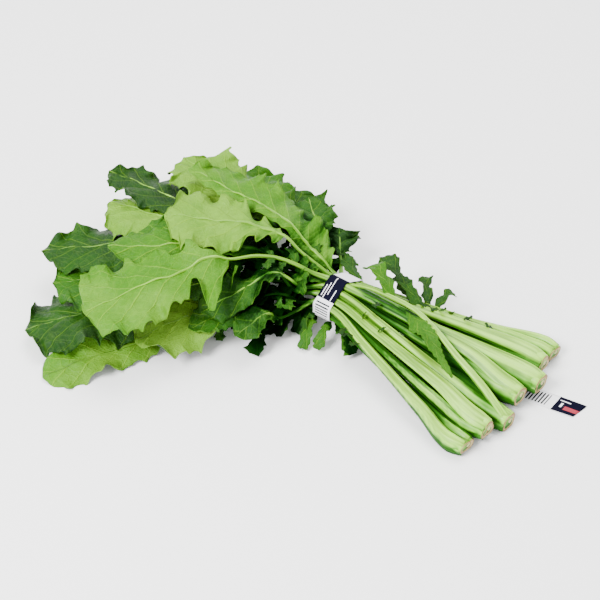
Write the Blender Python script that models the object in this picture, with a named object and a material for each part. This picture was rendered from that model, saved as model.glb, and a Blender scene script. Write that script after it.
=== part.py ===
"""A bunch of turnip greens lying on a table, held by one flat paper tie.

Seven cut plants lie side by side. Each plant is one grown piece: a cut crown,
its pale stalks, and on every stalk a lobed green blade. The stalks run side by
side through the tie and the blades lie on one another in a loose pile.

The bench frame has its origin on the table under the middle of the tie, with
+X towards the cut crowns, -Y towards the viewer and +Z up. One empty carries
every piece and puts the middle of the bunch's base at the world's origin.
"""

import math

import bmesh
import bpy
import numpy as np
from mathutils.bvhtree import BVHTree

# The stalks where they run straight through the tie
STALK_R = 0.0038
ROW_PITCH = 0.0086
COLUMN_PITCH = ROW_PITCH * math.sqrt(3) / 2
BUNDLE_Z = 0.0285
STRAIGHT_HALF = 0.012

# The paper tie: its band, the short twist under the bunch and the flat tail
TIE_WIDTH = 0.019
TIE_THICKNESS = 0.0008
TIE_GAP = 0.0005
TIE_SIDES = 32
TWIST_START = 0.004
TWIST_END = 0.040
TWIST_TURNS = 1.0
TWIST_WIDTH = 0.0046
TWIST_Z = 0.0031
TWIST_STEPS = 13
TWIST_SINKS = (0.15, 0.45)
TWIST_ROLLS = (0.20, 1.0)
TAIL_Z = 0.0005
TAIL_START = 0.058
TAIL_END = (0.247, 0.031)
TAIL_SLANT = 0.0032

# The crowns, from the viewer's side to the far side: x and y of the cut face,
# the height of its middle and the number of stalks that the tie holds
CROWNS = {
    "G": (0.192, -0.072, 0.0082, 2),
    "F": (0.199, -0.050, 0.0150, 3),
    "E": (0.206, -0.025, 0.0082, 4),
    "D": (0.201, 0.001, 0.0165, 5),
    "C": (0.208, 0.026, 0.0165, 4),
    "B": (0.196, 0.051, 0.0145, 3),
    "A": (0.194, 0.076, 0.0082, 2),
}
CROWN_R = 0.0104
CROWN_LENGTH = 0.030
CROWN_SHAPE = (0.50, 0.92, 1.00, 0.94, 0.66)
CROWN_SIDES = 12
CROWN_PHASE = 0.44
STALK_SPREAD = 0.0058
STALK_BASE_R = 0.0074
STALK_END = 0.012
ROOT_BACK = 0.003
ROOT_PULL = 0.4
ROOT_R = 0.0044

# How a stalk runs from the tie to its crown: it spreads and sinks a little
# later than evenly, and its upper stalks bow up
SPREAD_POWER = 1.12
SINK_POWER = 1.25
BOW = 0.004
BASE_POWER = 1.1

# How it runs from the tie to its blade: one bend, this share of its reach out
BEND_REACH = 0.20
BEND_SPREAD = 1.5

# Blades
BLADE_THICKNESS = 0.0008
BLADE_CLEARANCE = 0.0018
STALK_CLEARANCE = 0.0004
ACROSS = (-1.0, -0.55, 0.0, 0.55, 1.0)
RIB_TIP_R = 0.0009
RIB_BASE_R = 0.0028
RIB_POWER = 0.7
FOOT_OUTLINE = ((0.0, 0.05), (0.07, 0.30), (0.13, 0.11), (0.20, 0.46), (0.26, 0.50), (0.31, 0.27))
LOBED_LEAF = 22
LOBED_WIDTHS = (0.10, 0.60, 0.92, 1.00, 0.75, 0.18)
FOOT_SHARE = 0.37
SHOULDER = 0.74
WIDEST = 0.46
BLUNTNESS = 2.6
TIP_WIDTH = 0.04
TOOTH_DEPTH = 0.17
BODY_ROW = 0.017
WAVE = 0.21
WAVE_TURNS = (1.6, 2.6)
LOBE_SIZES = (0.85, 1.15)
SWEEP = 0.35
SWEEP_START = 0.55
EASE_FADE = 0.08
CREST = 0.55
STEEPEST = 0.8
HELD_REACH = 0.030
LAY_ROUNDS = 4
SPREAD_ROUNDS = 6
SPREAD_SHARE = 0.24

# The leaves in the order in which they lie, lowest first. Reach is from the
# tie to the tip and bearing is the turn from -X towards the viewer.
# plant, reach, bearing, middle height, tip height, blade length, half width,
# droop of the viewer's side, droop of the far side
LEAVES = (
    ("D", 0.262, 24, 0.010, 0.006, 0.150, 0.058, 0.05, 0.05),
    ("G", 0.285, 54, 0.010, 0.004, 0.128, 0.027, 0.10, -0.55),
    ("F", 0.296, 43, 0.014, 0.008, 0.150, 0.052, 0.05, 0.00),
    ("A", 0.158, -36, 0.034, 0.040, 0.085, 0.036, -0.30, 0.20),
    ("C", 0.235, -6, 0.016, 0.010, 0.140, 0.056, 0.00, 0.20),
    ("B", 0.212, -22, 0.024, 0.020, 0.120, 0.046, 0.00, 0.30),
    ("E", 0.196, 53, 0.028, 0.014, 0.112, 0.038, 0.10, -0.10),
    ("F", 0.146, 55, 0.022, 0.014, 0.072, 0.022, 0.10, -0.10),
    ("D", 0.272, 34, 0.030, 0.030, 0.135, 0.050, 0.15, -0.10),
    ("G", 0.112, 68, 0.020, 0.008, 0.060, 0.016, 0.30, 0.00),
    ("C", 0.292, 26, 0.045, 0.030, 0.140, 0.044, 0.20, 0.10),
    ("A", 0.082, -54, 0.038, 0.044, 0.048, 0.024, -0.40, 0.30),
    ("E", 0.250, 11, 0.050, 0.048, 0.120, 0.050, 0.10, 0.10),
    ("B", 0.124, -40, 0.044, 0.044, 0.084, 0.025, -0.15, 0.25),
    ("D", 0.275, 3, 0.058, 0.062, 0.125, 0.036, -0.10, 0.40),
    ("C", 0.224, -10, 0.058, 0.066, 0.110, 0.044, -0.20, 0.30),
    ("F", 0.152, 38, 0.036, 0.030, 0.090, 0.024, 0.30, 0.00),
    ("E", 0.200, 24, 0.055, 0.060, 0.110, 0.038, 0.10, 0.00),
    ("D", 0.216, 33, 0.066, 0.068, 0.118, 0.030, 0.20, 0.35),
    ("B", 0.190, -3, 0.070, 0.082, 0.145, 0.036, 0.10, 0.50),
    ("C", 0.172, 20, 0.080, 0.084, 0.098, 0.044, 0.15, 0.10),
    ("E", 0.132, 52, 0.045, 0.030, 0.078, 0.022, 0.40, 0.00),
    ("D", 0.240, 52, 0.070, 0.062, 0.102, 0.047, 0.15, 0.05),
)

# Leaflets that stand on a stalk between the tie and the crown: plant, stalk
# row, share of the stem from the tie, x, y and height of the tip, half width
LEAFLETS = (
    ("B", 2, 0.06, 0.014, 0.038, 0.064, 0.012),
    ("A", 1, 0.18, 0.024, 0.060, 0.056, 0.011),
    ("A", 1, 0.36, 0.092, 0.078, 0.030, 0.007),
    ("E", 3, 0.24, 0.090, -0.020, 0.046, 0.011),
    ("E", 3, 0.36, 0.118, -0.030, 0.040, 0.011),
    ("E", 3, 0.48, 0.146, -0.036, 0.034, 0.008),
    ("G", 1, 0.08, 0.012, -0.058, 0.020, 0.013),
)

LEAFLET_SHARES = (0.0, 0.15, 0.35, 0.55, 0.80, 1.0)
LEAFLET_WIDTHS = (0.15, 0.20, 0.75, 0.60, 1.0, 0.20)
LEAFLET_BOW = 0.006
LEAFLET_WAVE = 0.3
LEAFLET_RIB_R = (0.0016, 0.0008)

# Stations where a stalk is shaped: shares of the stem from the crown to the
# tie, and distances past the tie over which stalks are eased apart
STEM_SHARES = (1.0, 0.74, 0.48, 0.24, 0.0)
EASE_DISTANCES = (0.0, 0.018, 0.036, 0.054, 0.072, 0.090)
EASE_ROUNDS = 200
EASE_PUSH = 0.30
EASE_LEVEL = 0.15
STALK_SCATTER = 0.0012
STALK_GAP = 0.0006
FLOOR_GAP = 0.0017
TRIM_GAP = 0.00035

# Turns, in eighths, of the points of a stalk's ring. Some points stand
# twice, so that a ring has as many points as a blade's row has on both faces.
STALK_TURNS = (0, 1, 2, 3, 4, 4, 5, 6, 7, 8)

# Cells of the map of how high the pile already stands
CELL = 0.002
PILE_LOW = (-0.36, -0.32)
PILE_CELLS = (330, 270)


def smoothstep(value, low, high):
    """0 below low, 1 above high and a smooth rise between them."""
    share = np.clip((value - low) / (high - low), 0.0, 1.0)
    return share * share * (3 - 2 * share)


def unit(vectors):
    return vectors / (np.linalg.norm(vectors, axis=-1, keepdims=True) + 1e-12)


def tie_slot(plant, row):
    """Where a stalk runs through the tie: its y and z."""
    column = list(CROWNS).index(plant)
    count = CROWNS[plant][3]
    y = (column - (len(CROWNS) - 1) / 2) * COLUMN_PITCH
    return y, BUNDLE_Z + (row - (count - 1) / 2) * ROW_PITCH


def crown_socket(plant, row):
    """Where a stalk leaves its crown, in a ring with the low stalks at its foot."""
    count = CROWNS[plant][3]
    turns = [2 * math.pi * (k + CROWN_PHASE) / count - math.pi / 2 for k in range(count)]
    turn = sorted(turns, key=math.sin)[row]
    return np.array([math.cos(turn), math.sin(turn)]) * STALK_SPREAD


def stem_path(plant, row, shares):
    """Points from the tie, at share 0, to the crown, at share 1."""
    crown_x, crown_y, crown_z, count = CROWNS[plant]
    slot_y, slot_z = tie_slot(plant, row)
    beside, above = crown_socket(plant, row)
    shares = np.asarray(shares)
    x = STRAIGHT_HALF + (crown_x - STALK_END - STRAIGHT_HALF) * shares
    y = slot_y + (crown_y + beside - slot_y) * shares**SPREAD_POWER
    z = slot_z + (crown_z + above - slot_z) * shares**SINK_POWER
    bow = BOW * np.sin(math.pi * shares) * (1 + row - count / 2)
    return np.column_stack([x, y, z + bow])


def side_path(leaf, row, distances):
    """Points on the leaf's side of the tie, at these distances along the leaf."""
    plant, reach, bearing, mid_z, tip_z = leaf[:5]
    slot_y, slot_z = tie_slot(plant, row)
    share = np.asarray(distances) / reach
    angle = math.radians(bearing)
    start = np.array([-STRAIGHT_HALF, slot_y])
    bend = np.array([-STRAIGHT_HALF - BEND_REACH * reach, slot_y * BEND_SPREAD])
    end = -reach * np.array([math.cos(angle), math.sin(angle)])
    s = share[:, None]
    plan = (1 - s) ** 2 * start + 2 * s * (1 - s) * bend + s**2 * end
    z = slot_z + (mid_z - slot_z) * smoothstep(share, 0.0, CREST)
    z = z + (tip_z - mid_z) * np.clip((share - CREST) / (1 - CREST), 0, 1) ** 2
    return np.column_stack([plan, z])


def stem_radius(shares):
    return STALK_R + (STALK_BASE_R - STALK_R) * np.asarray(shares) ** BASE_POWER


def side_radius(distance, reach, blade):
    """The stalk tapers to the blade's foot and its rib goes on to the tip."""
    foot = reach - blade
    stalk = STALK_R + (RIB_BASE_R - STALK_R) * np.clip(distance / foot, 0, 1)
    share = np.clip((distance - foot) / blade, 0, 1)
    return np.where(distance < foot, stalk, RIB_BASE_R + (RIB_TIP_R - RIB_BASE_R) * share**RIB_POWER)


def stalk_rows():
    """The row of each leaf's stalk in its plant's column of the tie."""
    return [sum(other[0] == leaf[0] for other in LEAVES[:index]) for index, leaf in enumerate(LEAVES)]


def eased_stalks():
    """The stalks' lines, moved apart station by station where they would touch."""
    shares = np.array(STEM_SHARES)
    distances = np.array(EASE_DISTANCES)
    lines, radii = [], []
    for leaf, row in zip(LEAVES, stalk_rows()):
        lines.append(np.concatenate([stem_path(leaf[0], row, shares), side_path(leaf, row, distances)]))
        radii.append(np.concatenate([stem_radius(shares), side_radius(distances, leaf[1], leaf[5])]))
    lines, radii = np.array(lines), np.array(radii)
    free = np.ones(lines.shape[1])
    free[[0, len(shares) - 1, len(shares)]] = 0
    rng = np.random.default_rng(5)
    eased = lines.copy()
    eased[..., 1:] += rng.normal(0, STALK_SCATTER, eased[..., 1:].shape) * free[None, :, None]
    wanted = radii[:, None] + radii[None, :] + STALK_GAP
    wanted[np.arange(len(lines)), np.arange(len(lines))] = 0
    for _ in range(EASE_ROUNDS):
        between = eased[:, None] - eased[None, :]
        apart = np.linalg.norm(between, axis=3)
        lack = np.clip(wanted - apart, 0, None)
        push = (between / (apart[..., None] + 1e-9) * lack[..., None]).sum(1) * EASE_PUSH
        push[..., 0] = 0
        eased += push * free[None, :, None]
        level = 0.5 * eased[:, 1:-1] + 0.25 * (eased[:, :-2] + eased[:, 2:])
        eased[:, 1:-1] += (level - eased[:, 1:-1]) * EASE_LEVEL * free[None, 1:-1, None]
        raised = np.maximum(eased[..., 2], radii + FLOOR_GAP)
        eased[..., 2] = np.where(free[None, :] > 0, raised, eased[..., 2])
    return lines, eased, radii


def outline(share, foot_widths, scallops, phase):
    """Half the width of a blade, as a share of its most, at a share of its length."""
    foot = np.interp(share, [place for place, _ in FOOT_OUTLINE], foot_widths)
    rest = np.clip((share - FOOT_SHARE) / (1 - FOOT_SHARE), 0, 1)
    rise = SHOULDER + (1 - SHOULDER) * smoothstep(rest, 0, WIDEST)
    beyond = np.clip((rest - WIDEST) / (1 - WIDEST), 0, 1)
    fall = TIP_WIDTH + (1 - TIP_WIDTH) * np.sqrt(1 - beyond**BLUNTNESS)
    teeth = 1 - TOOTH_DEPTH * np.abs(np.sin(math.pi * rest * scallops / 2 + phase))
    return np.where(share < FOOT_SHARE, foot, rise * fall * teeth)


class Pile:
    """The height of what already lies on the table, on a grid of cells."""

    def __init__(self):
        self.top = np.zeros(PILE_CELLS)

    def cells(self, points):
        found = np.floor((points[:, :2] - PILE_LOW) / CELL).astype(int)
        return np.clip(found, 1, np.array(PILE_CELLS) - 2)

    def lack(self, points, clearance):
        """How much too low each point is, with a clearance over what lies there."""
        i, j = self.cells(points).T
        height = self.top[i, j]
        return height + np.where(height > 0, clearance, 0) - points[:, 2]

    def add(self, points):
        i, j = self.cells(points).T
        for di, dj in ((0, 0), (1, 0), (-1, 0), (0, 1), (0, -1)):
            np.maximum.at(self.top, (i + di, j + dj), points[:, 2])


def cell_samples(grid, steps=6):
    """Points inside each cell of a grid of points, and the cell that each is in."""
    share = (np.arange(steps) + 0.5) / steps
    a, b = np.meshgrid(share, share, indexing="ij")
    a, b = a.reshape(-1, 1), b.reshape(-1, 1)
    points, rows, columns = [], [], []
    for i in range(grid.shape[0] - 1):
        for j in range(grid.shape[1] - 1):
            low = grid[i, j] * (1 - b) + grid[i, j + 1] * b
            high = grid[i + 1, j] * (1 - b) + grid[i + 1, j + 1] * b
            points.append(low * (1 - a) + high * a)
            rows.append(np.full(len(a), i))
            columns.append(np.full(len(a), j))
    return np.concatenate(points), np.concatenate(rows), np.concatenate(columns)


def level_near(line):
    """For each point of a line, the level direction to its viewer's side."""
    ahead = unit(np.gradient(line[:, :2], axis=0))
    return np.column_stack([-ahead[:, 1], ahead[:, 0], np.zeros(len(line))])


def rib_samples(line, radii, steps=8):
    """Points on the underside and the top of a stalk, and the stretch each is in."""
    near = level_near(line)
    low, high, rows = [], [], []
    for i in range(len(line) - 1):
        for share in (np.arange(steps) + 0.5) / steps:
            centre = line[i] * (1 - share) + line[i + 1] * share
            side = near[i] * (1 - share) + near[i + 1] * share
            radius = radii[i] * (1 - share) + radii[i + 1] * share
            for beside in (-0.95, -0.5, 0.0, 0.5, 0.95):
                rise = np.array([0, 0, radius * math.sqrt(1 - beside * beside)])
                low.append(centre + side * radius * beside - rise)
                high.append(centre + side * radius * beside + rise)
                rows.append(i)
    return np.array(low), np.array(high), np.array(rows)


def leaf_rows(reach, blade):
    """Distances past the tie of the stalk's stations and of the blade's rows."""
    foot = reach - blade
    stations = int(np.clip(round(foot / 0.026), 2, 5))
    body_rows = int(np.clip(round(blade * (1 - FOOT_SHARE) / BODY_ROW) + 2, 4, 8))
    foot_shares = [share for share, _ in FOOT_OUTLINE]
    rest = np.sin(np.linspace(0, math.pi / 2, body_rows))
    shares = np.concatenate([foot_shares, FOOT_SHARE + (1 - FOOT_SHARE) * rest])
    return stations, np.concatenate([np.linspace(0, foot, stations, endpoint=False), foot + blade * shares])


def natural_leaf(leaf, row, shift, index):
    """The leaf as it would lie with nothing under it: rows by columns of points."""
    _, reach, _, _, _, blade, half_width, near_droop, far_droop = leaf
    stations, rows = leaf_rows(reach, blade)
    moved = [np.interp(rows, EASE_DISTANCES, shift[:, axis]) for axis in range(3)]
    fade = 1 - smoothstep(rows, EASE_DISTANCES[-1], EASE_DISTANCES[-1] + EASE_FADE)
    line = side_path(leaf, row, rows) + np.column_stack(moved) * fade[:, None]
    near = level_near(line)
    ahead = unit(np.gradient(line * (1, 1, 0), axis=0))
    share = np.clip((rows - rows[stations]) / blade, 0, 1)
    rng = np.random.default_rng(100 + index)
    across = np.array(ACROSS)
    grid = np.repeat(line[:, None, :], len(across), axis=1)
    for side, droop in ((1, near_droop), (-1, far_droop)):
        columns = across * side > 0
        size = rng.uniform(*LOBE_SIZES)
        lobed = index == LOBED_LEAF and side == 1
        foot_widths = LOBED_WIDTHS if lobed else [wide for _, wide in FOOT_OUTLINE]
        width = half_width * outline(share, foot_widths, len(rows) - stations, rng.uniform(0, 1.5))
        width = np.where(share < FOOT_SHARE, width * size, width)
        out = width[:, None] * np.abs(across[columns])[None, :]
        out[:stations] = 0
        turn = 2 * math.pi * rng.uniform(*WAVE_TURNS) * share[:, None] + rng.uniform(0, 2 * math.pi)
        grid[:, columns] += side * near[:, None, :] * out[..., None]
        grid[:, columns, 2] += WAVE * np.sin(turn) * out**2 / half_width - droop * out
        back = SWEEP * out * smoothstep(share, SWEEP_START, 1.0)[:, None]
        grid[:, columns] -= ahead[:, None, :] * back[..., None]
    grid[..., 2] = np.maximum(grid[..., 2], BLADE_THICKNESS / 2)
    return stations, rows, grid


def slope_limited(height, grid):
    """Raises a leaf beside its peaks, so that it falls off no steeper than a leaf bends."""
    along = STEEPEST * np.linalg.norm(np.diff(grid[..., :2], axis=0), axis=-1)
    beside = STEEPEST * np.linalg.norm(np.diff(grid[..., :2], axis=1), axis=-1)
    height = height.copy()
    for _ in range(10):
        height[:-1] = np.maximum(height[:-1], height[1:] - along)
        height[1:] = np.maximum(height[1:], height[:-1] - along)
        height[:, :-1] = np.maximum(height[:, :-1], height[:, 1:] - beside)
        height[:, 1:] = np.maximum(height[:, 1:], height[:, :-1] - beside)
    return height


def lay_on(pile, stations, rows, grid, radii):
    """Lifts a leaf off what lies under it, with a smooth rise around each touch."""
    most = STEEPEST * np.clip(rows - HELD_REACH, 0, None)[:, None]
    middle = len(ACROSS) // 2
    lift = np.zeros(grid.shape[:2])
    for _ in range(LAY_ROUNDS):
        raised = grid.copy()
        raised[..., 2] += lift
        points, i, j = cell_samples(raised[stations:])
        lack = pile.lack(points - (0, 0, BLADE_THICKNESS / 2), BLADE_CLEARANCE)
        need = np.zeros_like(lift)
        for di, dj in ((0, 0), (1, 0), (0, 1), (1, 1)):
            np.maximum.at(need, (i + di + stations, j + dj), lack)
        low, _, k = rib_samples(raised[:, middle], radii)
        lack = pile.lack(low, STALK_CLEARANCE)
        for dk in (0, 1):
            np.maximum.at(need[:, middle], k + dk, lack)
        held = np.minimum(lift + need, most)
        lift = held.copy()
        for _ in range(SPREAD_ROUNDS):
            spread = np.pad(lift, 1, mode="edge")
            around = spread[:-2, 1:-1] + spread[2:, 1:-1] + spread[1:-1, :-2] + spread[1:-1, 2:]
            lift = np.maximum(held, SPREAD_SHARE * around)
        lift = np.minimum(slope_limited(grid[..., 2] + lift, grid) - grid[..., 2], most)
        lift[:stations] = lift[:stations, middle : middle + 1]
    grid = grid.copy()
    grid[..., 2] += lift
    return grid


def grow_leaves():
    """Every leaf, lowest first: its stem's line and the rows of its side."""
    lines, eased, radii = eased_stalks()
    stem_count = len(STEM_SHARES)
    pile, grown = Pile(), []
    for index, (leaf, row) in enumerate(zip(LEAVES, stalk_rows())):
        shift = (eased - lines)[index, stem_count:]
        stations, rows, grid = natural_leaf(leaf, row, shift, index)
        thick = side_radius(rows, leaf[1], leaf[5])
        grid = lay_on(pile, stations, rows, grid, thick)
        pile.add(rib_samples(grid[:, len(ACROSS) // 2], thick)[1])
        points, _, _ = cell_samples(grid[stations:])
        pile.add(points + (0, 0, BLADE_THICKNESS / 2))
        grown.append({
            "plant": leaf[0],
            "row": row,
            "stem": eased[index, :stem_count],
            "stem_radii": radii[index, :stem_count],
            "stations": stations,
            "grid": grid,
            "side_radii": thick,
        })
    return grown


def stalk_ring(centre, near, over, radius):
    turns = np.array(STALK_TURNS) * math.pi / 4
    return centre + radius * (np.cos(turns)[:, None] * near + np.sin(turns)[:, None] * over)


def blade_ring(points, normals, rib, grow):
    """Both faces of one row of a blade, with the rib standing out of them."""
    rise = np.full((len(ACROSS), 1), BLADE_THICKNESS / 2 + grow)
    rise[len(ACROSS) // 2] = rib + grow
    points = points + unit(points - points[len(ACROSS) // 2]) * grow
    return np.concatenate([(points + normals * rise)[::-1], points - normals * rise])


def leaf_rings(line, radii, stations, grid, grow):
    """Rings of points for one leaf, from its foot to its tip."""
    middle = len(ACROSS) // 2
    full_line = np.concatenate([line, grid[stations:, middle]])
    near = level_near(full_line)
    over = unit(np.cross(unit(np.gradient(full_line, axis=0)), near))
    rings = [stalk_ring(line[k], near[k], over[k], radii[k] + grow) for k in range(len(line))]
    blade = grid[stations:]
    normals = unit(np.cross(np.gradient(blade, axis=0), np.gradient(blade, axis=1)))
    normals[-1] = normals[-2, len(ACROSS) // 2]
    for row, normal, rib in zip(blade, normals, radii[len(line) :]):
        rings.append(blade_ring(row, normal, rib, grow))
    rings = np.array(rings)
    rings[..., 2] = np.maximum(rings[..., 2], 0)
    return rings, len(line)


def skin(name, rings, materials, first_green):
    """A closed solid over a stack of rings. Both faces of a blade split alike."""
    stations, points = rings.shape[:2]
    shape = bmesh.new()
    bmesh.ops.create_grid(shape, x_segments=stations - 1, y_segments=points, size=1)
    half = points // 2
    rib = (half // 2 - 1, half // 2, half + half // 2 - 1, half + half // 2)
    upper, lower = [], []
    for face in shape.faces:
        middle = face.calc_center_median()
        ring = int((middle.x + 1) / 2 * (stations - 1))
        column = int((middle.y + 1) / 2 * points)
        face.material_index = int(ring >= first_green and column not in rib)
        (upper if column < half else lower).append(face)
    bmesh.ops.triangulate(shape, faces=upper, quad_method="FIXED")
    bmesh.ops.triangulate(shape, faces=lower, quad_method="ALTERNATE")
    for corner in shape.verts:
        ring = round((corner.co.x + 1) / 2 * (stations - 1))
        column = round((corner.co.y + 1) / 2 * points) % points
        corner.co = rings[ring, column]
    bmesh.ops.remove_doubles(shape, verts=shape.verts, dist=1e-6)
    caps = bmesh.ops.holes_fill(shape, edges=shape.edges, sides=points)["faces"]
    bmesh.ops.triangulate(shape, faces=caps)
    bmesh.ops.recalc_face_normals(shape, faces=shape.faces)
    mesh = bpy.data.meshes.new(name)
    shape.to_mesh(mesh)
    shape.free()
    for material in materials:
        mesh.materials.append(material)
    made = bpy.data.objects.new(name, mesh)
    bpy.context.scene.collection.objects.link(made)
    return made


def leaf_object(leaf, materials, grow=0.0):
    """One stalk with its blade, and its foot rounded into the crown."""
    crown_x, crown_y, crown_z, _ = CROWNS[leaf["plant"]]
    socket = crown_socket(leaf["plant"], leaf["row"])
    end = np.array([crown_x, crown_y, crown_z]) + ROOT_PULL * np.array([0, *socket]) - (ROOT_BACK, 0, 0)
    line = np.concatenate([[end], leaf["stem"], leaf["grid"][: leaf["stations"], len(ACROSS) // 2]])
    radii = np.concatenate([[ROOT_R], leaf["stem_radii"], leaf["side_radii"]])
    rings, first_green = leaf_rings(line, radii, leaf["stations"], leaf["grid"], grow)
    return skin(f"leaf_{leaf['plant']}{leaf['row']}", rings, materials, first_green)


def leaflet_object(leaflet, grown, materials, grow=0.0):
    """A small lobed blade that stands on a stalk beside the tie."""
    plant, row, share, x, y, z, half_width = leaflet
    stem = next(leaf["stem"] for leaf in grown if leaf["plant"] == plant and leaf["row"] == row)
    foot = np.array([np.interp(share, STEM_SHARES[::-1], stem[::-1, axis]) for axis in range(3)])
    tip = np.array([x, y, z])
    shares = np.array(LEAFLET_SHARES)
    widths = half_width * np.array(LEAFLET_WIDTHS)
    line = foot + (tip - foot) * shares[:, None]
    line[:, 2] += LEAFLET_BOW * np.sin(math.pi * shares)
    near = level_near(line)
    grid = line[:, None] + near[:, None] * (widths[:, None] * np.array(ACROSS))[..., None]
    out = np.abs(grid - line[:, None]).max(2)
    grid[..., 2] += LEAFLET_WAVE * out * np.sin(2 * math.pi * shares)[:, None]
    radii = np.interp(shares, (0, 1), LEAFLET_RIB_R)
    rings, first_green = leaf_rings(line[:1], radii, 1, grid, grow)
    return skin(f"leaflet_{plant}{round(100 * share)}", rings, materials, first_green)


def crown_object(name, plant, materials, grow=0.0):
    """The cut foot of a plant, flat where it rests on the table."""
    x, y, z, _ = CROWNS[plant]
    turns = (np.arange(CROWN_SIDES) + 0.5) * 2 * math.pi / CROWN_SIDES
    rings = []
    for k, share in enumerate(CROWN_SHAPE):
        place = x - CROWN_LENGTH * (1 - k / (len(CROWN_SHAPE) - 1))
        radius = CROWN_R * share + grow
        ring = [(place, y + radius * math.cos(turn), max(z + radius * math.sin(turn), 0)) for turn in turns]
        rings.append(ring)
    return skin(name, np.array(rings), materials, len(rings))


def combine(target, others, operation):
    """Joins other objects into target, or cuts them from it, and removes them."""
    group = bpy.data.collections.new("operands")
    bpy.context.scene.collection.children.link(group)
    for other in others:
        group.objects.link(other)
    step = target.modifiers.new(operation, "BOOLEAN")
    step.operation = operation
    step.operand_type = "COLLECTION"
    step.collection = group
    step.solver = "MANIFOLD"
    graph = bpy.context.evaluated_depsgraph_get()
    mesh = bpy.data.meshes.new_from_object(target.evaluated_get(graph))
    target.modifiers.clear()
    target.data = mesh
    for other in others:
        bpy.data.objects.remove(other)
    bpy.data.collections.remove(group)
    return target


def surface_tree(made):
    """A search tree of an object's faces, for testing whether two objects touch."""
    shape = bmesh.new()
    shape.from_mesh(made.data)
    tree = BVHTree.FromBMesh(shape)
    shape.free()
    return tree


def plant_leaves(plant, grown, materials, grow=0.0):
    """Every leaf and leaflet of one plant, as loose objects."""
    leaves = [leaf_object(leaf, materials, grow) for leaf in grown if leaf["plant"] == plant]
    leaflets = [leaflet_object(one, grown, materials, grow) for one in LEAFLETS if one[0] == plant]
    return leaves + leaflets


def trim(target, cutters):
    """Cuts from target those cutters that touch it, and removes all cutters."""
    tree = surface_tree(target)
    touching = [one for one in cutters if tree.overlap(surface_tree(one))]
    for one in cutters:
        if one not in touching:
            bpy.data.objects.remove(one)
    if touching:
        combine(target, touching, "DIFFERENCE")
    return len(touching)


def drop_scraps(made):
    """Keeps the largest body, splits its faces into triangles and counts the scraps."""
    shape = bmesh.new()
    shape.from_mesh(made.data)
    bmesh.ops.triangulate(shape, faces=shape.faces)
    waiting, groups = set(shape.verts), []
    while waiting:
        group, edge_of = set(), [waiting.pop()]
        while edge_of:
            vert = edge_of.pop()
            group.add(vert)
            for edge in vert.link_edges:
                other = edge.other_vert(vert)
                if other in waiting:
                    waiting.remove(other)
                    edge_of.append(other)
        groups.append(group)
    groups.sort(key=len)
    for group in groups[:-1]:
        bmesh.ops.delete(shape, geom=list(group), context="VERTS")
    shape.to_mesh(made.data)
    shape.free()
    return [len(group) for group in groups[:-1]]


def band_ring(x, wall):
    """Points round the bundle of stalks at x, as a taut band would lie on them."""
    centres = np.array([tie_slot(plant, row) for plant in CROWNS for row in range(CROWNS[plant][3])])
    turns = (np.arange(TIE_SIDES) + 0.5) * 2 * math.pi / TIE_SIDES
    ring = []
    for turn in turns:
        out = np.array([math.cos(turn), math.sin(turn)])
        outermost = centres[np.argmax(centres @ out)]
        y, z = outermost + out * (STALK_R + TIE_GAP + wall)
        ring.append((x, y, z))
    return ring


def tie_object(material, grow=0.0):
    """The band, with its ends twisted under the bunch and one run on as a tail."""
    half = TIE_WIDTH / 2 + grow
    inner, outer = -grow, TIE_THICKNESS + grow
    walls = [(-half, inner), (-half, outer), (half, outer), (half, inner), (-half, inner)]
    rings = np.array([band_ring(x, wall) for x, wall in walls])
    band = skin("tie", rings, [material], len(rings))
    bottom = rings[1, :, 2].min()
    stations = []
    for x in np.linspace(TWIST_START, TWIST_END, TWIST_STEPS):
        share = (x - TWIST_START) / (TWIST_END - TWIST_START)
        height = TWIST_Z + (bottom - TWIST_Z) * (1 - smoothstep(share, *TWIST_SINKS))
        roll = 2 * math.pi * TWIST_TURNS * smoothstep(share, *TWIST_ROLLS)
        stations.append((x, height, TWIST_WIDTH / 2, roll))
    for x in (TAIL_START, TAIL_END[0]):
        stations.append((x, TAIL_Z, TIE_WIDTH / 2, 2 * math.pi * TWIST_TURNS))
    slope = math.atan2(TAIL_END[1], TAIL_END[0] - TWIST_END)
    rings = []
    for number, (x, height, width, roll) in enumerate(stations):
        y = TAIL_END[1] * max(x - TWIST_END, 0) / (TAIL_END[0] - TWIST_END)
        last = number == len(stations) - 1
        ring = []
        for side, face in ((1, 1), (-1, 1), (-1, -1), (1, -1)):
            beside = side * (width + grow)
            over = face * (TIE_THICKNESS / 2 + grow)
            level = beside * math.cos(roll) - over * math.sin(roll)
            rise = beside * math.sin(roll) + over * math.cos(roll)
            slant = side * TAIL_SLANT if last else 0
            place = (x - level * math.sin(slope) + slant, y + level * math.cos(slope), height + rise)
            ring.append((place[0], place[1], max(place[2], 0)))
        rings.append(ring)
    strip = skin("strip", np.array(rings), [material], len(rings))
    return combine(band, [strip], "UNION")


def colour_material(name, colour, roughness):
    material = bpy.data.materials.new(name)
    material.use_nodes = True
    shader = material.node_tree.nodes["Principled BSDF"]
    shader.inputs["Base Color"].default_value = (*colour, 1)
    shader.inputs["Roughness"].default_value = roughness
    return material


def centre_base(pieces):
    """Hangs every piece on one empty, so that the middle of the base is the origin."""
    corners = np.array([corner.co[:] for piece in pieces for corner in piece.data.vertices])
    low, high = corners.min(0), corners.max(0)
    bunch = bpy.data.objects.new("bunch", None)
    bpy.context.scene.collection.objects.link(bunch)
    bunch.location = (-(low[0] + high[0]) / 2, -(low[1] + high[1]) / 2, -low[2])
    for piece in pieces:
        piece.parent = bunch


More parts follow.
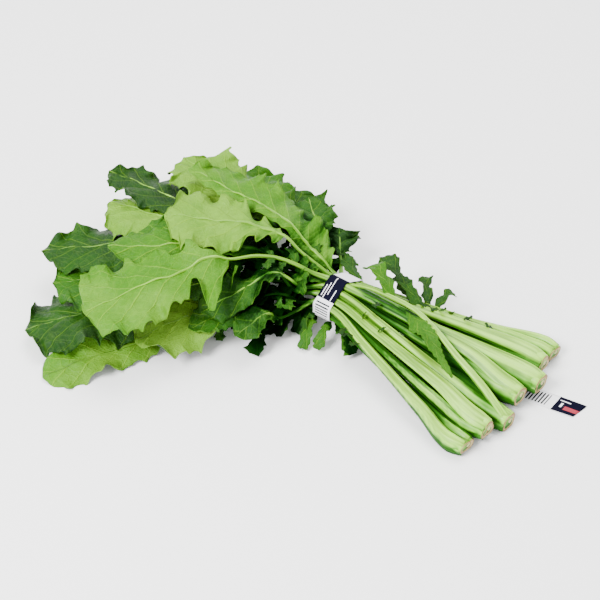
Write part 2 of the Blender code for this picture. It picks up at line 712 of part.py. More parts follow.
def main():
    for old in list(bpy.data.objects):
        bpy.data.objects.remove(old)
    stalk = colour_material("stalk_green", (0.48, 0.62, 0.22), 0.45)
    green = colour_material("leaf_green", (0.13, 0.30, 0.04), 0.55)
    paper = colour_material("tie_paper", (0.80, 0.80, 0.80), 0.50)
    grown = grow_leaves()
    pieces = []
    for number, plant in enumerate(CROWNS):
        made = crown_object(f"plant_{plant}", plant, [stalk, green])
        combine(made, plant_leaves(plant, grown, [stalk, green]), "UNION")
        cutters = [tie_object(paper, TRIM_GAP)]
        for other in list(CROWNS)[:number]:
            cutters.append(crown_object("cutter", other, [stalk], TRIM_GAP))
            cutters += plant_leaves(other, grown, [stalk], TRIM_GAP)
        cuts = trim(made, cutters)
        scraps = drop_scraps(made)
        print(made.name, "cuts", cuts, "scraps", scraps, "faces", len(made.data.polygons))
        pieces.append(made)
    tie = tie_object(paper)
    drop_scraps(tie)
    pieces.append(tie)
    print("tie faces", len(tie.data.polygons))
    centre_base(pieces)


main()
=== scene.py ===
# %% [markdown]
# # A bunch of turnip greens
# The bunch lies on a table. Seven cut plants are held by one flat paper tie.
# The solids of the frame hold the true sizes and places. This script dresses
# them: every blade gets a toothed and waved margin and veins, every stalk its
# grooves, every crown its cut face, and the tie its plain print.
# The frame is loaded first, because everything below is placed by it.

# %% Load the frame
import math

import bmesh
import bpy
import numpy as np
from mathutils import Matrix, Vector


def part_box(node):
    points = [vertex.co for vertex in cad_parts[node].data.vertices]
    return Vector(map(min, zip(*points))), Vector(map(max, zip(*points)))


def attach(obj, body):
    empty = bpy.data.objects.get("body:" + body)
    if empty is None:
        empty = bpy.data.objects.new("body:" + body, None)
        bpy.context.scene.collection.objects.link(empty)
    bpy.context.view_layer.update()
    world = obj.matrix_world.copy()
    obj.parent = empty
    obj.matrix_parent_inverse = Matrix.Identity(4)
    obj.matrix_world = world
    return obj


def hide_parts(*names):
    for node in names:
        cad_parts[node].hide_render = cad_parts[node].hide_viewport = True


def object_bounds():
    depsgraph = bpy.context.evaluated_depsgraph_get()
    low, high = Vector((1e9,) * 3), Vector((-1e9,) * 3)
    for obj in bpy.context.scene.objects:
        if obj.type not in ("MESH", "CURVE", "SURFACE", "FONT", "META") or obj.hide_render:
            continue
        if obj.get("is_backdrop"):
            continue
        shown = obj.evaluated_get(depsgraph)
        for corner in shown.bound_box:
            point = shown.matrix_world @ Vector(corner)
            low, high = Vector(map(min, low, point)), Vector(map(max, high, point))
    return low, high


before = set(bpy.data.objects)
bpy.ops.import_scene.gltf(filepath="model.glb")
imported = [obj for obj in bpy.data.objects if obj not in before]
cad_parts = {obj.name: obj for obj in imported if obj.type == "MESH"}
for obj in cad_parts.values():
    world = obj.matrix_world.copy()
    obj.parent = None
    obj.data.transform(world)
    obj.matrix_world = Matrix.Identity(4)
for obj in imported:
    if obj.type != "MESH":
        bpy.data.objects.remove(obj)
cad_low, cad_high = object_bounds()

print("solids:", ", ".join(sorted(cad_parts)))

# %% [markdown]
# The bench frame is a handy place to think in: its origin is on the table
# under the middle of the tie, with +X towards the cut crowns, -Y towards the
# viewer and +Z up. The stalks run straight through the tie in columns, one
# column for each plant, packed like coins. The tie's own box then says where
# the bench's origin lies in the frame.

# %% The bench and the tie's place on it
FULL_TURN = 2 * math.pi
# flat maps are in tenths of a metre
MAP_SCALE = 10
STALK_R = 0.0038
ROW_PITCH = 0.0086
COLUMN_PITCH = ROW_PITCH * math.sqrt(3) / 2
BUNDLE_Z = 0.0285
STRAIGHT_HALF = 0.012
TIE_WIDTH = 0.019
TIE_THICKNESS = 0.0008
TIE_GAP = 0.0005

# The crowns, from the viewer's side: x and y of the cut face, the height of
# its middle and the number of stalks
CROWNS = {
    "G": (0.192, -0.072, 0.0082, 2),
    "F": (0.199, -0.050, 0.0150, 3),
    "E": (0.206, -0.025, 0.0082, 4),
    "D": (0.201, 0.001, 0.0165, 5),
    "C": (0.208, 0.026, 0.0165, 4),
    "B": (0.196, 0.051, 0.0145, 3),
    "A": (0.194, 0.076, 0.0082, 2),
}


def smoothstep(value, low, high):
    """0 below low, 1 above high and a smooth rise between them."""
    share = np.clip((value - low) / (high - low), 0.0, 1.0)
    return share * share * (3 - 2 * share)


def four_around(values):
    """The sum of the four neighbours of each value of a map."""
    padded = np.pad(values, 1, mode="edge")
    return padded[:-2, 1:-1] + padded[2:, 1:-1] + padded[1:-1, :-2] + padded[1:-1, 2:]


def unit(vectors):
    return vectors / (np.linalg.norm(vectors, axis=-1, keepdims=True) + 1e-12)


def lengths_along(line):
    """How far along a line each of its points is."""
    return np.concatenate([[0], np.cumsum(np.linalg.norm(np.diff(line, axis=0), axis=1))])


def points_at(wanted, places, points):
    """Where a line of points is at the wanted places."""
    return np.stack([np.interp(wanted, places, values) for values in points.T], axis=-1)


def map_of(first, second):
    """A flat map from its two coordinates."""
    return np.stack(np.broadcast_arrays(first, second), axis=-1)


def tie_slot(plant, row):
    """Where a stalk runs through the tie: its y and z."""
    column = list(CROWNS).index(plant)
    count = CROWNS[plant][3]
    y = (column - (len(CROWNS) - 1) / 2) * COLUMN_PITCH
    return y, BUNDLE_Z + (row - (count - 1) / 2) * ROW_PITCH


def band_ring(sides, wall):
    """Points round the bundle of stalks, as a taut band would lie on them: y and z."""
    centres = np.array([tie_slot(plant, row) for plant in CROWNS for row in range(CROWNS[plant][3])])
    turns = (np.arange(sides) + 0.5) * FULL_TURN / sides
    ring = []
    for turn in turns:
        out = np.array([math.cos(turn), math.sin(turn)])
        ring.append(centres[np.argmax(centres @ out)] + out * (STALK_R + TIE_GAP + wall))
    return np.array(ring)


TIE_SIDES = 32
tie_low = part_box("tie")[0]
bench = Vector((
    tie_low.x + TIE_WIDTH / 2,
    tie_low.y - band_ring(TIE_SIDES, TIE_THICKNESS)[:, 0].min(),
    0,
))
print("the bench's origin is at", [round(value, 4) for value in bench])

# %% [markdown]
# The camera stands where the photographer stood: 37 degrees round from the
# front and 42 degrees up, with a long lens. The tie's middle is kept at its
# own pixel of the 600 by 600 picture, and one pixel there is 0.95 mm.

# %% Camera
AZIMUTH = math.radians(37)
ELEVATION = math.radians(42)
DISTANCE = 1.5
PIXEL = 0.00095
FRAME_PIXELS = 600
TIE_PIXEL = (338, 302)
SENSOR = 36
TARGET_HEIGHT = 0.022

right = Vector((math.cos(AZIMUTH), math.sin(AZIMUTH), 0))
back = Vector((
    math.sin(AZIMUTH) * math.cos(ELEVATION),
    -math.cos(AZIMUTH) * math.cos(ELEVATION),
    math.sin(ELEVATION),
))
above = back.cross(right)
middle_pixel = FRAME_PIXELS / 2
target = bench + Vector((0, 0, TARGET_HEIGHT))
target -= right * (TIE_PIXEL[0] - middle_pixel) * PIXEL
target += above * (TIE_PIXEL[1] - middle_pixel) * PIXEL

camera_data = bpy.data.cameras.new("camera")
camera_data.sensor_width = SENSOR
camera_data.lens = SENSOR * DISTANCE / (FRAME_PIXELS * PIXEL)
camera = bpy.data.objects.new("camera", camera_data)
turned = Matrix((right, above, back)).transposed().to_4x4()
camera.matrix_world = Matrix.Translation(target + back * DISTANCE) @ turned
bpy.context.scene.collection.objects.link(camera)
bpy.context.scene.camera = camera
print("lens", round(camera_data.lens, 1), "mm")

# %% [markdown]
# The floor is one wide pale sheet. Large soft lights stand over it: a key
# from the left behind the camera, a broad one overhead and a weak fill.

# %% Floor and lights
FLOOR_HALF = 6
FLOOR_COLOUR = (0.96, 0.96, 0.96, 1)
FLOOR_ROUGHNESS = 0.9
WORLD_STRENGTH = 1.5

floor_shape = bmesh.new()
bmesh.ops.create_grid(floor_shape, x_segments=1, y_segments=1, size=FLOOR_HALF)
floor_mesh = bpy.data.meshes.new("floor")
floor_shape.to_mesh(floor_mesh)
floor_shape.free()
floor = bpy.data.objects.new("floor", floor_mesh)
bpy.context.scene.collection.objects.link(floor)
floor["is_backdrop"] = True
floor_finish = bpy.data.materials.new("floor")
floor_finish.use_nodes = True
floor_shader = floor_finish.node_tree.nodes["Principled BSDF"]
floor_shader.inputs["Base Color"].default_value = FLOOR_COLOUR
floor_shader.inputs["Roughness"].default_value = FLOOR_ROUGHNESS
floor_mesh.materials.append(floor_finish)

world = bpy.data.worlds.new("studio")
world.use_nodes = True
world.node_tree.nodes["Background"].inputs["Color"].default_value = (1, 1, 1, 1)
world.node_tree.nodes["Background"].inputs["Strength"].default_value = WORLD_STRENGTH
bpy.context.scene.world = world

# name, direction to the light (right, away from the viewer, up), distance, size, watts
LIGHTS = (
    ("key", (-0.7, -0.65, 1.0), 2.2, 0.8, 104),
    ("top", (0.2, 0.5, 1.2), 2.4, 1.4, 62),
    ("fill", (0.9, -0.8, 0.5), 2.6, 1.6, 10),
)
away = Vector((-math.sin(AZIMUTH), math.cos(AZIMUTH), 0))
for name, place, distance, size, watts in LIGHTS:
    data = bpy.data.lights.new(name, "AREA")
    data.size = size
    data.energy = watts
    light = bpy.data.objects.new(name, data)
    towards = (right * place[0] + away * place[1] + Vector((0, 0, place[2]))).normalized()
    light.location = target + towards * distance
    light.rotation_mode = "QUATERNION"
    light.rotation_quaternion = towards.to_track_quat("Z", "Y")
    bpy.context.scene.collection.objects.link(light)
print("lights:", ", ".join(light[0] for light in LIGHTS))

# %% [markdown]
# Every large leaf of the photo is a row of one table, in the order in which
# the leaves lie on each other, lowest first. Reach is from the tie to the tip
# and bearing is the turn from -X towards the viewer.

# %% The large leaves
# plant, reach, bearing, middle height, tip height, blade length, half width,
# droop of the viewer's side, droop of the far side
LEAVES = (
    ("D", 0.262, 24, 0.010, 0.006, 0.150, 0.058, 0.05, 0.05),
    ("G", 0.285, 54, 0.010, 0.004, 0.128, 0.027, 0.10, -0.55),
    ("F", 0.296, 43, 0.014, 0.008, 0.150, 0.052, 0.05, 0.00),
    ("A", 0.158, -36, 0.034, 0.040, 0.085, 0.036, -0.30, 0.20),
    ("C", 0.235, -6, 0.016, 0.010, 0.140, 0.056, 0.00, 0.20),
    ("B", 0.212, -22, 0.024, 0.020, 0.120, 0.046, 0.00, 0.30),
    ("E", 0.196, 53, 0.028, 0.014, 0.112, 0.038, 0.10, -0.10),
    ("F", 0.146, 55, 0.022, 0.014, 0.072, 0.022, 0.10, -0.10),
    ("D", 0.272, 34, 0.030, 0.030, 0.135, 0.050, 0.15, -0.10),
    ("G", 0.112, 68, 0.020, 0.008, 0.060, 0.016, 0.30, 0.00),
    ("C", 0.292, 26, 0.045, 0.030, 0.140, 0.044, 0.20, 0.10),
    ("A", 0.082, -54, 0.038, 0.044, 0.048, 0.024, -0.40, 0.30),
    ("E", 0.250, 11, 0.050, 0.048, 0.120, 0.050, 0.10, 0.10),
    ("B", 0.124, -40, 0.044, 0.044, 0.084, 0.025, -0.15, 0.25),
    ("D", 0.275, 3, 0.058, 0.062, 0.125, 0.036, -0.10, 0.40),
    ("C", 0.224, -10, 0.058, 0.066, 0.110, 0.044, -0.20, 0.30),
    ("F", 0.152, 38, 0.036, 0.030, 0.090, 0.024, 0.30, 0.00),
    ("E", 0.200, 24, 0.055, 0.060, 0.110, 0.038, 0.10, 0.00),
    ("D", 0.216, 33, 0.066, 0.068, 0.118, 0.030, 0.20, 0.35),
    ("B", 0.190, -3, 0.070, 0.082, 0.145, 0.036, 0.10, 0.50),
    ("C", 0.172, 20, 0.080, 0.084, 0.098, 0.044, 0.15, 0.10),
    ("E", 0.132, 52, 0.045, 0.030, 0.078, 0.022, 0.40, 0.00),
    ("D", 0.240, 52, 0.070, 0.062, 0.102, 0.047, 0.15, 0.05),
)
print(len(LEAVES), "leaves of", len(CROWNS), "plants")

# %% [markdown]
# A stalk's way has two halves. From the tie to the crown it spreads and sinks
# towards its socket in the crown. From the tie to its blade it bends once,
# then rises over what already lies there. These are the formulas that placed
# the solids, so the finer pieces end up in the same places.

# %% The stalks' lines
CROWN_PHASE = 0.44
STALK_SPREAD = 0.0058
STALK_BASE_R = 0.0074
STALK_END = 0.012
SPREAD_POWER = 1.12
SINK_POWER = 1.25
BOW = 0.004
BASE_POWER = 1.1
BEND_REACH = 0.20
BEND_SPREAD = 1.5
CREST = 0.55
RIB_TIP_R = 0.0009
RIB_BASE_R = 0.0028
RIB_POWER = 0.7
STEM_SHARES = (1.0, 0.74, 0.48, 0.24, 0.0)


def crown_socket(plant, row):
    """Where a stalk leaves its crown, in a ring with the low stalks at its foot."""
    count = CROWNS[plant][3]
    turns = [FULL_TURN * (k + CROWN_PHASE) / count - math.pi / 2 for k in range(count)]
    turn = sorted(turns, key=math.sin)[row]
    return np.array([math.cos(turn), math.sin(turn)]) * STALK_SPREAD


def stem_path(plant, row, shares):
    """Points from the tie, at share 0, to the crown, at share 1."""
    crown_x, crown_y, crown_z, count = CROWNS[plant]
    slot_y, slot_z = tie_slot(plant, row)
    beside, over = crown_socket(plant, row)
    shares = np.asarray(shares)
    x = STRAIGHT_HALF + (crown_x - STALK_END - STRAIGHT_HALF) * shares
    y = slot_y + (crown_y + beside - slot_y) * shares**SPREAD_POWER
    z = slot_z + (crown_z + over - slot_z) * shares**SINK_POWER
    bow = BOW * np.sin(math.pi * shares) * (1 + row - count / 2)
    return np.column_stack([x, y, z + bow])


def side_path(leaf, row, distances):
    """Points on the leaf's side of the tie, at these distances along the leaf."""
    plant, reach, bearing, mid_z, tip_z = leaf[:5]
    slot_y, slot_z = tie_slot(plant, row)
    share = np.asarray(distances) / reach
    angle = math.radians(bearing)
    start = np.array([-STRAIGHT_HALF, slot_y])
    bend = np.array([-STRAIGHT_HALF - BEND_REACH * reach, slot_y * BEND_SPREAD])
    end = -reach * np.array([math.cos(angle), math.sin(angle)])
    s = share[:, None]
    plan = (1 - s) ** 2 * start + 2 * s * (1 - s) * bend + s**2 * end
    z = slot_z + (mid_z - slot_z) * smoothstep(share, 0.0, CREST)
    z = z + (tip_z - mid_z) * np.clip((share - CREST) / (1 - CREST), 0, 1) ** 2
    return np.column_stack([plan, z])


def stem_radius(shares):
    return STALK_R + (STALK_BASE_R - STALK_R) * np.asarray(shares) ** BASE_POWER


def side_radius(distance, reach, blade):
    """The stalk tapers to the blade's foot and its rib goes on to the tip."""
    foot = reach - blade
    stalk = STALK_R + (RIB_BASE_R - STALK_R) * np.clip(distance / foot, 0, 1)
    share = np.clip((distance - foot) / blade, 0, 1)
    return np.where(distance < foot, stalk, RIB_BASE_R + (RIB_TIP_R - RIB_BASE_R) * share**RIB_POWER)


def stalk_rows():
    """The row of each leaf's stalk in its plant's column of the tie."""
    return [sum(other[0] == leaf[0] for other in LEAVES[:index]) for index, leaf in enumerate(LEAVES)]


print("a stem has", len(STEM_SHARES), "stations from the crown to the tie")

# %% [markdown]
# Lines that run so close together would touch here and there. They are moved
# apart station by station, except at the crown and in the tie.

# %% Stalks moved apart
EASE_DISTANCES = (0.0, 0.018, 0.036, 0.054, 0.072, 0.090)
EASE_ROUNDS = 200
EASE_PUSH = 0.30
EASE_LEVEL = 0.15
STALK_SEED = 5
STALK_SCATTER = 0.0012
STALK_GAP = 0.0006
FLOOR_GAP = 0.0017


def eased_stalks():
    """The stalks' lines, moved apart station by station where they would touch."""
    shares = np.array(STEM_SHARES)
    distances = np.array(EASE_DISTANCES)
    lines, radii = [], []
    for leaf, row in zip(LEAVES, stalk_rows()):
        lines.append(np.concatenate([stem_path(leaf[0], row, shares), side_path(leaf, row, distances)]))
        radii.append(np.concatenate([stem_radius(shares), side_radius(distances, leaf[1], leaf[5])]))
    lines, radii = np.array(lines), np.array(radii)
    free = np.ones(lines.shape[1])
    free[[0, len(shares) - 1, len(shares)]] = 0
    rng = np.random.default_rng(STALK_SEED)
    eased = lines.copy()
    eased[..., 1:] += rng.normal(0, STALK_SCATTER, eased[..., 1:].shape) * free[None, :, None]
    wanted = radii[:, None] + radii[None, :] + STALK_GAP
    wanted[np.arange(len(lines)), np.arange(len(lines))] = 0
    for _ in range(EASE_ROUNDS):
        between = eased[:, None] - eased[None, :]
        apart = np.linalg.norm(between, axis=3)
        lack = np.clip(wanted - apart, 0, None)
        push = (between / (apart[..., None] + 1e-9) * lack[..., None]).sum(1) * EASE_PUSH
        push[..., 0] = 0
        eased += push * free[None, :, None]
        level = 0.5 * eased[:, 1:-1] + 0.25 * (eased[:, :-2] + eased[:, 2:])
        eased[:, 1:-1] += (level - eased[:, 1:-1]) * EASE_LEVEL * free[None, 1:-1, None]
        raised = np.maximum(eased[..., 2], radii + FLOOR_GAP)
        eased[..., 2] = np.where(free[None, :] > 0, raised, eased[..., 2])
    return lines, eased, radii


lines, eased, stem_radii = eased_stalks()
print(len(eased), "stalks moved by up to", round(abs(eased - lines).max() * 1000, 1), "mm")

# %% [markdown]
# A blade of turnip greens is a broad toothed leaf with a few loose lobes at
# its foot. The outline says how wide it is at each share of its length. The
# topmost leaf has one broad lobe at its foot instead, on the viewer's side.

# %% The outline of a blade
FOOT_OUTLINE = ((0.0, 0.05), (0.07, 0.30), (0.13, 0.11), (0.20, 0.46), (0.26, 0.50), (0.31, 0.27))
LOBED_LEAF = 22
LOBED_WIDTHS = (0.10, 0.60, 0.92, 1.00, 0.75, 0.18)
FOOT_SHARE = 0.37
SHOULDER = 0.74
WIDEST = 0.46
BLUNTNESS = 2.6
TIP_WIDTH = 0.04
TOOTH_DEPTH = 0.17


def body_outline(share, widest, bluntness):
    """The place along the body, the rise to its widest point and the fall to its tip."""
    rest = np.clip((share - FOOT_SHARE) / (1 - FOOT_SHARE), 0, 1)
    rise = SHOULDER + (1 - SHOULDER) * smoothstep(rest, 0, widest)
    beyond = np.clip((rest - widest) / (1 - widest), 0, 1)
    return rest, rise, np.sqrt(1 - beyond**bluntness)


def outline(share, foot_widths, scallops, phase):
    """Half the width of a blade, as a share of its most, at a share of its length."""
    foot = np.interp(share, [place for place, _ in FOOT_OUTLINE], foot_widths)
    rest, rise, fall = body_outline(share, WIDEST, BLUNTNESS)
    fall = TIP_WIDTH + (1 - TIP_WIDTH) * fall
    teeth = 1 - TOOTH_DEPTH * np.abs(np.sin(math.pi * rest * scallops / 2 + phase))
    return np.where(share < FOOT_SHARE, foot, rise * fall * teeth)


print("a blade's foot is the first", FOOT_SHARE, "of its length")

# %% [markdown]
# The leaves are laid down one by one, lowest first, on the pile that lies
# there. The pile is kept as a map of heights. To compare a leaf with the map,
# points are taken inside the cells of its grid and along its stalk.

# %% The pile's map and points to compare with it
PILE_CELL = 0.002
PILE_COUNTS = (330, 270)
PILE_LOW = (-0.36, -0.32)
STALK_SAMPLES = (-0.95, -0.5, 0.0, 0.5, 0.95)


class Pile:
    """The height of what already lies on the table, on a grid of cells."""

    def __init__(self, cell, counts):
        self.cell = cell
        self.top = np.zeros(counts)

    def cells(self, points):
        found = np.floor((points[:, :2] - PILE_LOW) / self.cell).astype(int)
        return np.clip(found, 1, np.array(self.top.shape) - 2)

    def lack(self, points, clearance):
        """How much too low each point is, with a clearance over what lies there."""
        i, j = self.cells(points).T
        height = self.top[i, j]
        return height + np.where(height > 0, clearance, 0) - points[:, 2]

    def add(self, points):
        i, j = self.cells(points).T
        for di, dj in ((0, 0), (1, 0), (-1, 0), (0, 1), (0, -1)):
            np.maximum.at(self.top, (i + di, j + dj), points[:, 2])


def cell_samples(grid, steps=6):
    """Points inside each cell of a grid of points, and the cell that each is in."""
    share = (np.arange(steps) + 0.5) / steps
    a, b = np.meshgrid(share, share, indexing="ij")
    a, b = a.reshape(-1, 1), b.reshape(-1, 1)
    points, rows, columns = [], [], []
    for i in range(grid.shape[0] - 1):
        for j in range(grid.shape[1] - 1):
            low = grid[i, j] * (1 - b) + grid[i, j + 1] * b
            high = grid[i + 1, j] * (1 - b) + grid[i + 1, j + 1] * b
            points.append(low * (1 - a) + high * a)
            rows.append(np.full(len(a), i))
            columns.append(np.full(len(a), j))
    return np.concatenate(points), np.concatenate(rows), np.concatenate(columns)


def level_near(line):
    """For each point of a line, the level direction to its viewer's side."""
    ahead = unit(np.gradient(line[:, :2], axis=0))
    return np.column_stack([-ahead[:, 1], ahead[:, 0], np.zeros(len(line))])


def rib_samples(line, radii, steps=8):
    """Points on the underside and the top of a stalk, and the stretch each is in."""
    near = level_near(line)
    low, high, rows = [], [], []
    for i in range(len(line) - 1):
        for share in (np.arange(steps) + 0.5) / steps:
            centre = line[i] * (1 - share) + line[i + 1] * share
            side = near[i] * (1 - share) + near[i + 1] * share
            radius = radii[i] * (1 - share) + radii[i + 1] * share
            for beside in STALK_SAMPLES:
                rise = np.array([0, 0, radius * math.sqrt(1 - beside * beside)])
                low.append(centre + side * radius * beside - rise)
                high.append(centre + side * radius * beside + rise)
                rows.append(i)
    return np.array(low), np.array(high), np.array(rows)


print("the pile's map has", PILE_COUNTS[0] * PILE_COUNTS[1], "cells")

# %% [markdown]
# A leaf's plain form is a grid, with rows across the midrib. First it is
# shaped as it would lie with nothing under it: it follows its stalk's line,
# each side droops or lifts, and both margins wave.

# %% One leaf on its own
BLADE_THICKNESS = 0.0008
ACROSS = (-1.0, -0.55, 0.0, 0.55, 1.0)
MIDRIB = len(ACROSS) // 2
STATION_STEP = 0.026
BODY_ROW = 0.017
WAVE = 0.21
WAVE_TURNS = (1.6, 2.6)
LOBE_SIZES = (0.85, 1.15)
SCALLOP_PHASES = (0, 1.5)
LEAF_SEED = 100
SWEEP = 0.35
SWEEP_START = 0.55
EASE_FADE = 0.08


def leaf_rows(reach, blade):
    """Distances past the tie of the stalk's stations and of the blade's rows."""
    foot = reach - blade
    stations = int(np.clip(round(foot / STATION_STEP), 2, 5))
    body_rows = int(np.clip(round(blade * (1 - FOOT_SHARE) / BODY_ROW) + 2, 4, 8))
    foot_shares = [share for share, _ in FOOT_OUTLINE]
    rest = np.sin(np.linspace(0, math.pi / 2, body_rows))
    shares = np.concatenate([foot_shares, FOOT_SHARE + (1 - FOOT_SHARE) * rest])
    return stations, np.concatenate([np.linspace(0, foot, stations, endpoint=False), foot + blade * shares])


def natural_leaf(leaf, row, shift, index):
    """The leaf as it would lie with nothing under it: rows by columns of points."""
    _, reach, _, _, _, blade, half_width, near_droop, far_droop = leaf
    stations, rows = leaf_rows(reach, blade)
    moved = points_at(rows, EASE_DISTANCES, shift)
    fade = 1 - smoothstep(rows, EASE_DISTANCES[-1], EASE_DISTANCES[-1] + EASE_FADE)
    line = side_path(leaf, row, rows) + moved * fade[:, None]
    near = level_near(line)
    ahead = unit(np.gradient(line * (1, 1, 0), axis=0))
    share = np.clip((rows - rows[stations]) / blade, 0, 1)
    rng = np.random.default_rng(LEAF_SEED + index)
    across = np.array(ACROSS)
    grid = np.repeat(line[:, None, :], len(across), axis=1)
    margins = {}
    for side, droop in ((1, near_droop), (-1, far_droop)):
        columns = across * side > 0
        size = rng.uniform(*LOBE_SIZES)
        phase = rng.uniform(*SCALLOP_PHASES)
        lobed = index == LOBED_LEAF and side == 1
        foot_widths = LOBED_WIDTHS if lobed else [wide for _, wide in FOOT_OUTLINE]
        margins[side] = (size, phase, foot_widths)
        width = half_width * outline(share, foot_widths, len(rows) - stations, phase)
        width = np.where(share < FOOT_SHARE, width * size, width)
        out = width[:, None] * np.abs(across[columns])[None, :]
        out[:stations] = 0
        turn = FULL_TURN * rng.uniform(*WAVE_TURNS) * share[:, None] + rng.uniform(0, FULL_TURN)
        grid[:, columns] += side * near[:, None, :] * out[..., None]
        grid[:, columns, 2] += WAVE * np.sin(turn) * out**2 / half_width - droop * out
        swept = SWEEP * out * smoothstep(share, SWEEP_START, 1.0)[:, None]
        grid[:, columns] -= ahead[:, None, :] * swept[..., None]
    grid[..., 2] = np.maximum(grid[..., 2], BLADE_THICKNESS / 2)
    return stations, rows, grid, margins


print("a leaf has", len(ACROSS), "points across")

# %% [markdown]
# Then it is lifted where it would dip into the pile, no steeper than a leaf
# bends, and becomes part of the pile itself.

# %% The leaves laid down
BLADE_CLEARANCE = 0.0018
STALK_CLEARANCE = 0.0004
STEEPEST = 0.8
HELD_REACH = 0.030
SLOPE_ROUNDS = 10
LAY_ROUNDS = 4
SPREAD_ROUNDS = 6
SPREAD_SHARE = 0.24


def slope_limited(height, grid):
    """Raises a leaf beside its peaks, so that it falls off no steeper than a leaf bends."""
    along = STEEPEST * np.linalg.norm(np.diff(grid[..., :2], axis=0), axis=-1)
    beside = STEEPEST * np.linalg.norm(np.diff(grid[..., :2], axis=1), axis=-1)
    height = height.copy()
    for _ in range(SLOPE_ROUNDS):
        height[:-1] = np.maximum(height[:-1], height[1:] - along)
        height[1:] = np.maximum(height[1:], height[:-1] - along)
        height[:, :-1] = np.maximum(height[:, :-1], height[:, 1:] - beside)
        height[:, 1:] = np.maximum(height[:, 1:], height[:, :-1] - beside)
    return height


def lay_on(pile, stations, rows, grid, radii):
    """Lifts a leaf off what lies under it, with a smooth rise around each touch."""
    most = STEEPEST * np.clip(rows - HELD_REACH, 0, None)[:, None]
    lift = np.zeros(grid.shape[:2])
    for _ in range(LAY_ROUNDS):
        raised = grid.copy()
        raised[..., 2] += lift
        points, i, j = cell_samples(raised[stations:])
        lack = pile.lack(points - (0, 0, BLADE_THICKNESS / 2), BLADE_CLEARANCE)
        need = np.zeros_like(lift)
        for di, dj in ((0, 0), (1, 0), (0, 1), (1, 1)):
            np.maximum.at(need, (i + di + stations, j + dj), lack)
        low, _, k = rib_samples(raised[:, MIDRIB], radii)
        lack = pile.lack(low, STALK_CLEARANCE)
        for dk in (0, 1):
            np.maximum.at(need[:, MIDRIB], k + dk, lack)
        held = np.minimum(lift + need, most)
        lift = held.copy()
        for _ in range(SPREAD_ROUNDS):
            lift = np.maximum(held, SPREAD_SHARE * four_around(lift))
        lift = np.minimum(slope_limited(grid[..., 2] + lift, grid) - grid[..., 2], most)
        lift[:stations] = lift[:stations, MIDRIB : MIDRIB + 1]
    grid = grid.copy()
    grid[..., 2] += lift
    return grid


def grow_leaves():
    """Every leaf, lowest first: its stem's line and the rows of its side."""
    stem_count = len(STEM_SHARES)
    pile, grown = Pile(PILE_CELL, PILE_COUNTS), []
    for index, (leaf, row) in enumerate(zip(LEAVES, stalk_rows())):
        shift = (eased - lines)[index, stem_count:]
        stations, rows, grid, margins = natural_leaf(leaf, row, shift, index)
        thick = side_radius(rows, leaf[1], leaf[5])
        grid = lay_on(pile, stations, rows, grid, thick)
        pile.add(rib_samples(grid[:, MIDRIB], thick)[1])
        points, _, _ = cell_samples(grid[stations:])
        pile.add(points + (0, 0, BLADE_THICKNESS / 2))
        grown.append({
            "leaf": leaf,
            "row": row,
            "stem": eased[index, :stem_count],
            "stem_radii": stem_radii[index, :stem_count],
            "stations": stations,
            "rows": rows,
            "grid": grid,
            "margins": margins,
            "side_radii": thick,
        })
    return grown


grown = grow_leaves()
print("the pile is", round(max(leaf["grid"][..., 2].max() for leaf in grown) * 1000), "mm high")

# %% [markdown]
# Every finish is a node tree on one Principled shader. Small helpers keep the
# trees short: one adds a node and fills its sockets, one does a sum, and the
# rest are sums and lookups that come back often. A socket is filled with a
# number or colour, or with another node's output.

# %% Helpers for node trees
def add_node(tree, kind, inputs=(), **settings):
    """A new node, with its settings and its inputs by name or place."""
    node = tree.nodes.new("ShaderNode" + kind)
    for key, value in settings.items():
        setattr(node, key, value)
    for key, value in dict(inputs).items():
        if isinstance(value, bpy.types.NodeSocket):
            tree.links.new(value, node.inputs[key])
        else:
            node.inputs[key].default_value = value
    return node


def sum_of(tree, operation, *values):
    """The output of a Math node."""
    return add_node(tree, "Math", dict(enumerate(values)), operation=operation).outputs[0]


def plus(tree, first, second):
    return sum_of(tree, "ADD", first, second)


def minus(tree, first, second):
    return sum_of(tree, "SUBTRACT", first, second)


def times(tree, first, second):
    return sum_of(tree, "MULTIPLY", first, second)


def swing(tree, noise, size):
    """A noise turned into a swing about zero."""
    return times(tree, minus(tree, noise, 0.5), size)


def noise_of(tree, place, scale, detail):
    return add_node(tree, "TexNoise", {"Vector": place, "Scale": scale, "Detail": detail}).outputs["Fac"]


def flat_map(tree):
    return add_node(tree, "UVMap", uv_map="flat").outputs["UV"]


def value_of(tree, attribute):
    return add_node(tree, "Attribute", attribute_name=attribute).outputs["Fac"]


def object_place(tree):
    return add_node(tree, "TexCoord").outputs["Object"]


def line_mask(tree, distance, width):
    """1 on a line and 0 beyond its width, from the distance to the line."""
    inputs = {"Value": distance, "From Min": 0.0, "From Max": width, "To Min": 1.0, "To Max": 0.0}
    return add_node(tree, "MapRange", inputs, interpolation_type="SMOOTHSTEP").outputs["Result"]


def blend_of(tree, factor, first, second, blend="MIX"):
    """The colour output of a Mix node."""
    node = add_node(tree, "Mix", data_type="RGBA", blend_type=blend)
    for place, value in ((0, factor), (6, first), (7, second)):
        if isinstance(value, bpy.types.NodeSocket):
            tree.links.new(value, node.inputs[place])
        else:
            node.inputs[place].default_value = value
    return node.outputs[2]


def ramp_of(tree, factor, *stops):
    """The colour output of a ramp through stops of (place, colour)."""
    node = add_node(tree, "ValToRGB", {"Fac": factor})
    ramp = node.color_ramp
    while len(ramp.elements) < len(stops):
        ramp.elements.new(0.5)
    for element, (place, colour) in zip(ramp.elements, stops):
        element.position = place
        element.color = (*colour, 1)
    return node.outputs["Color"]


print("helpers for node trees are ready")
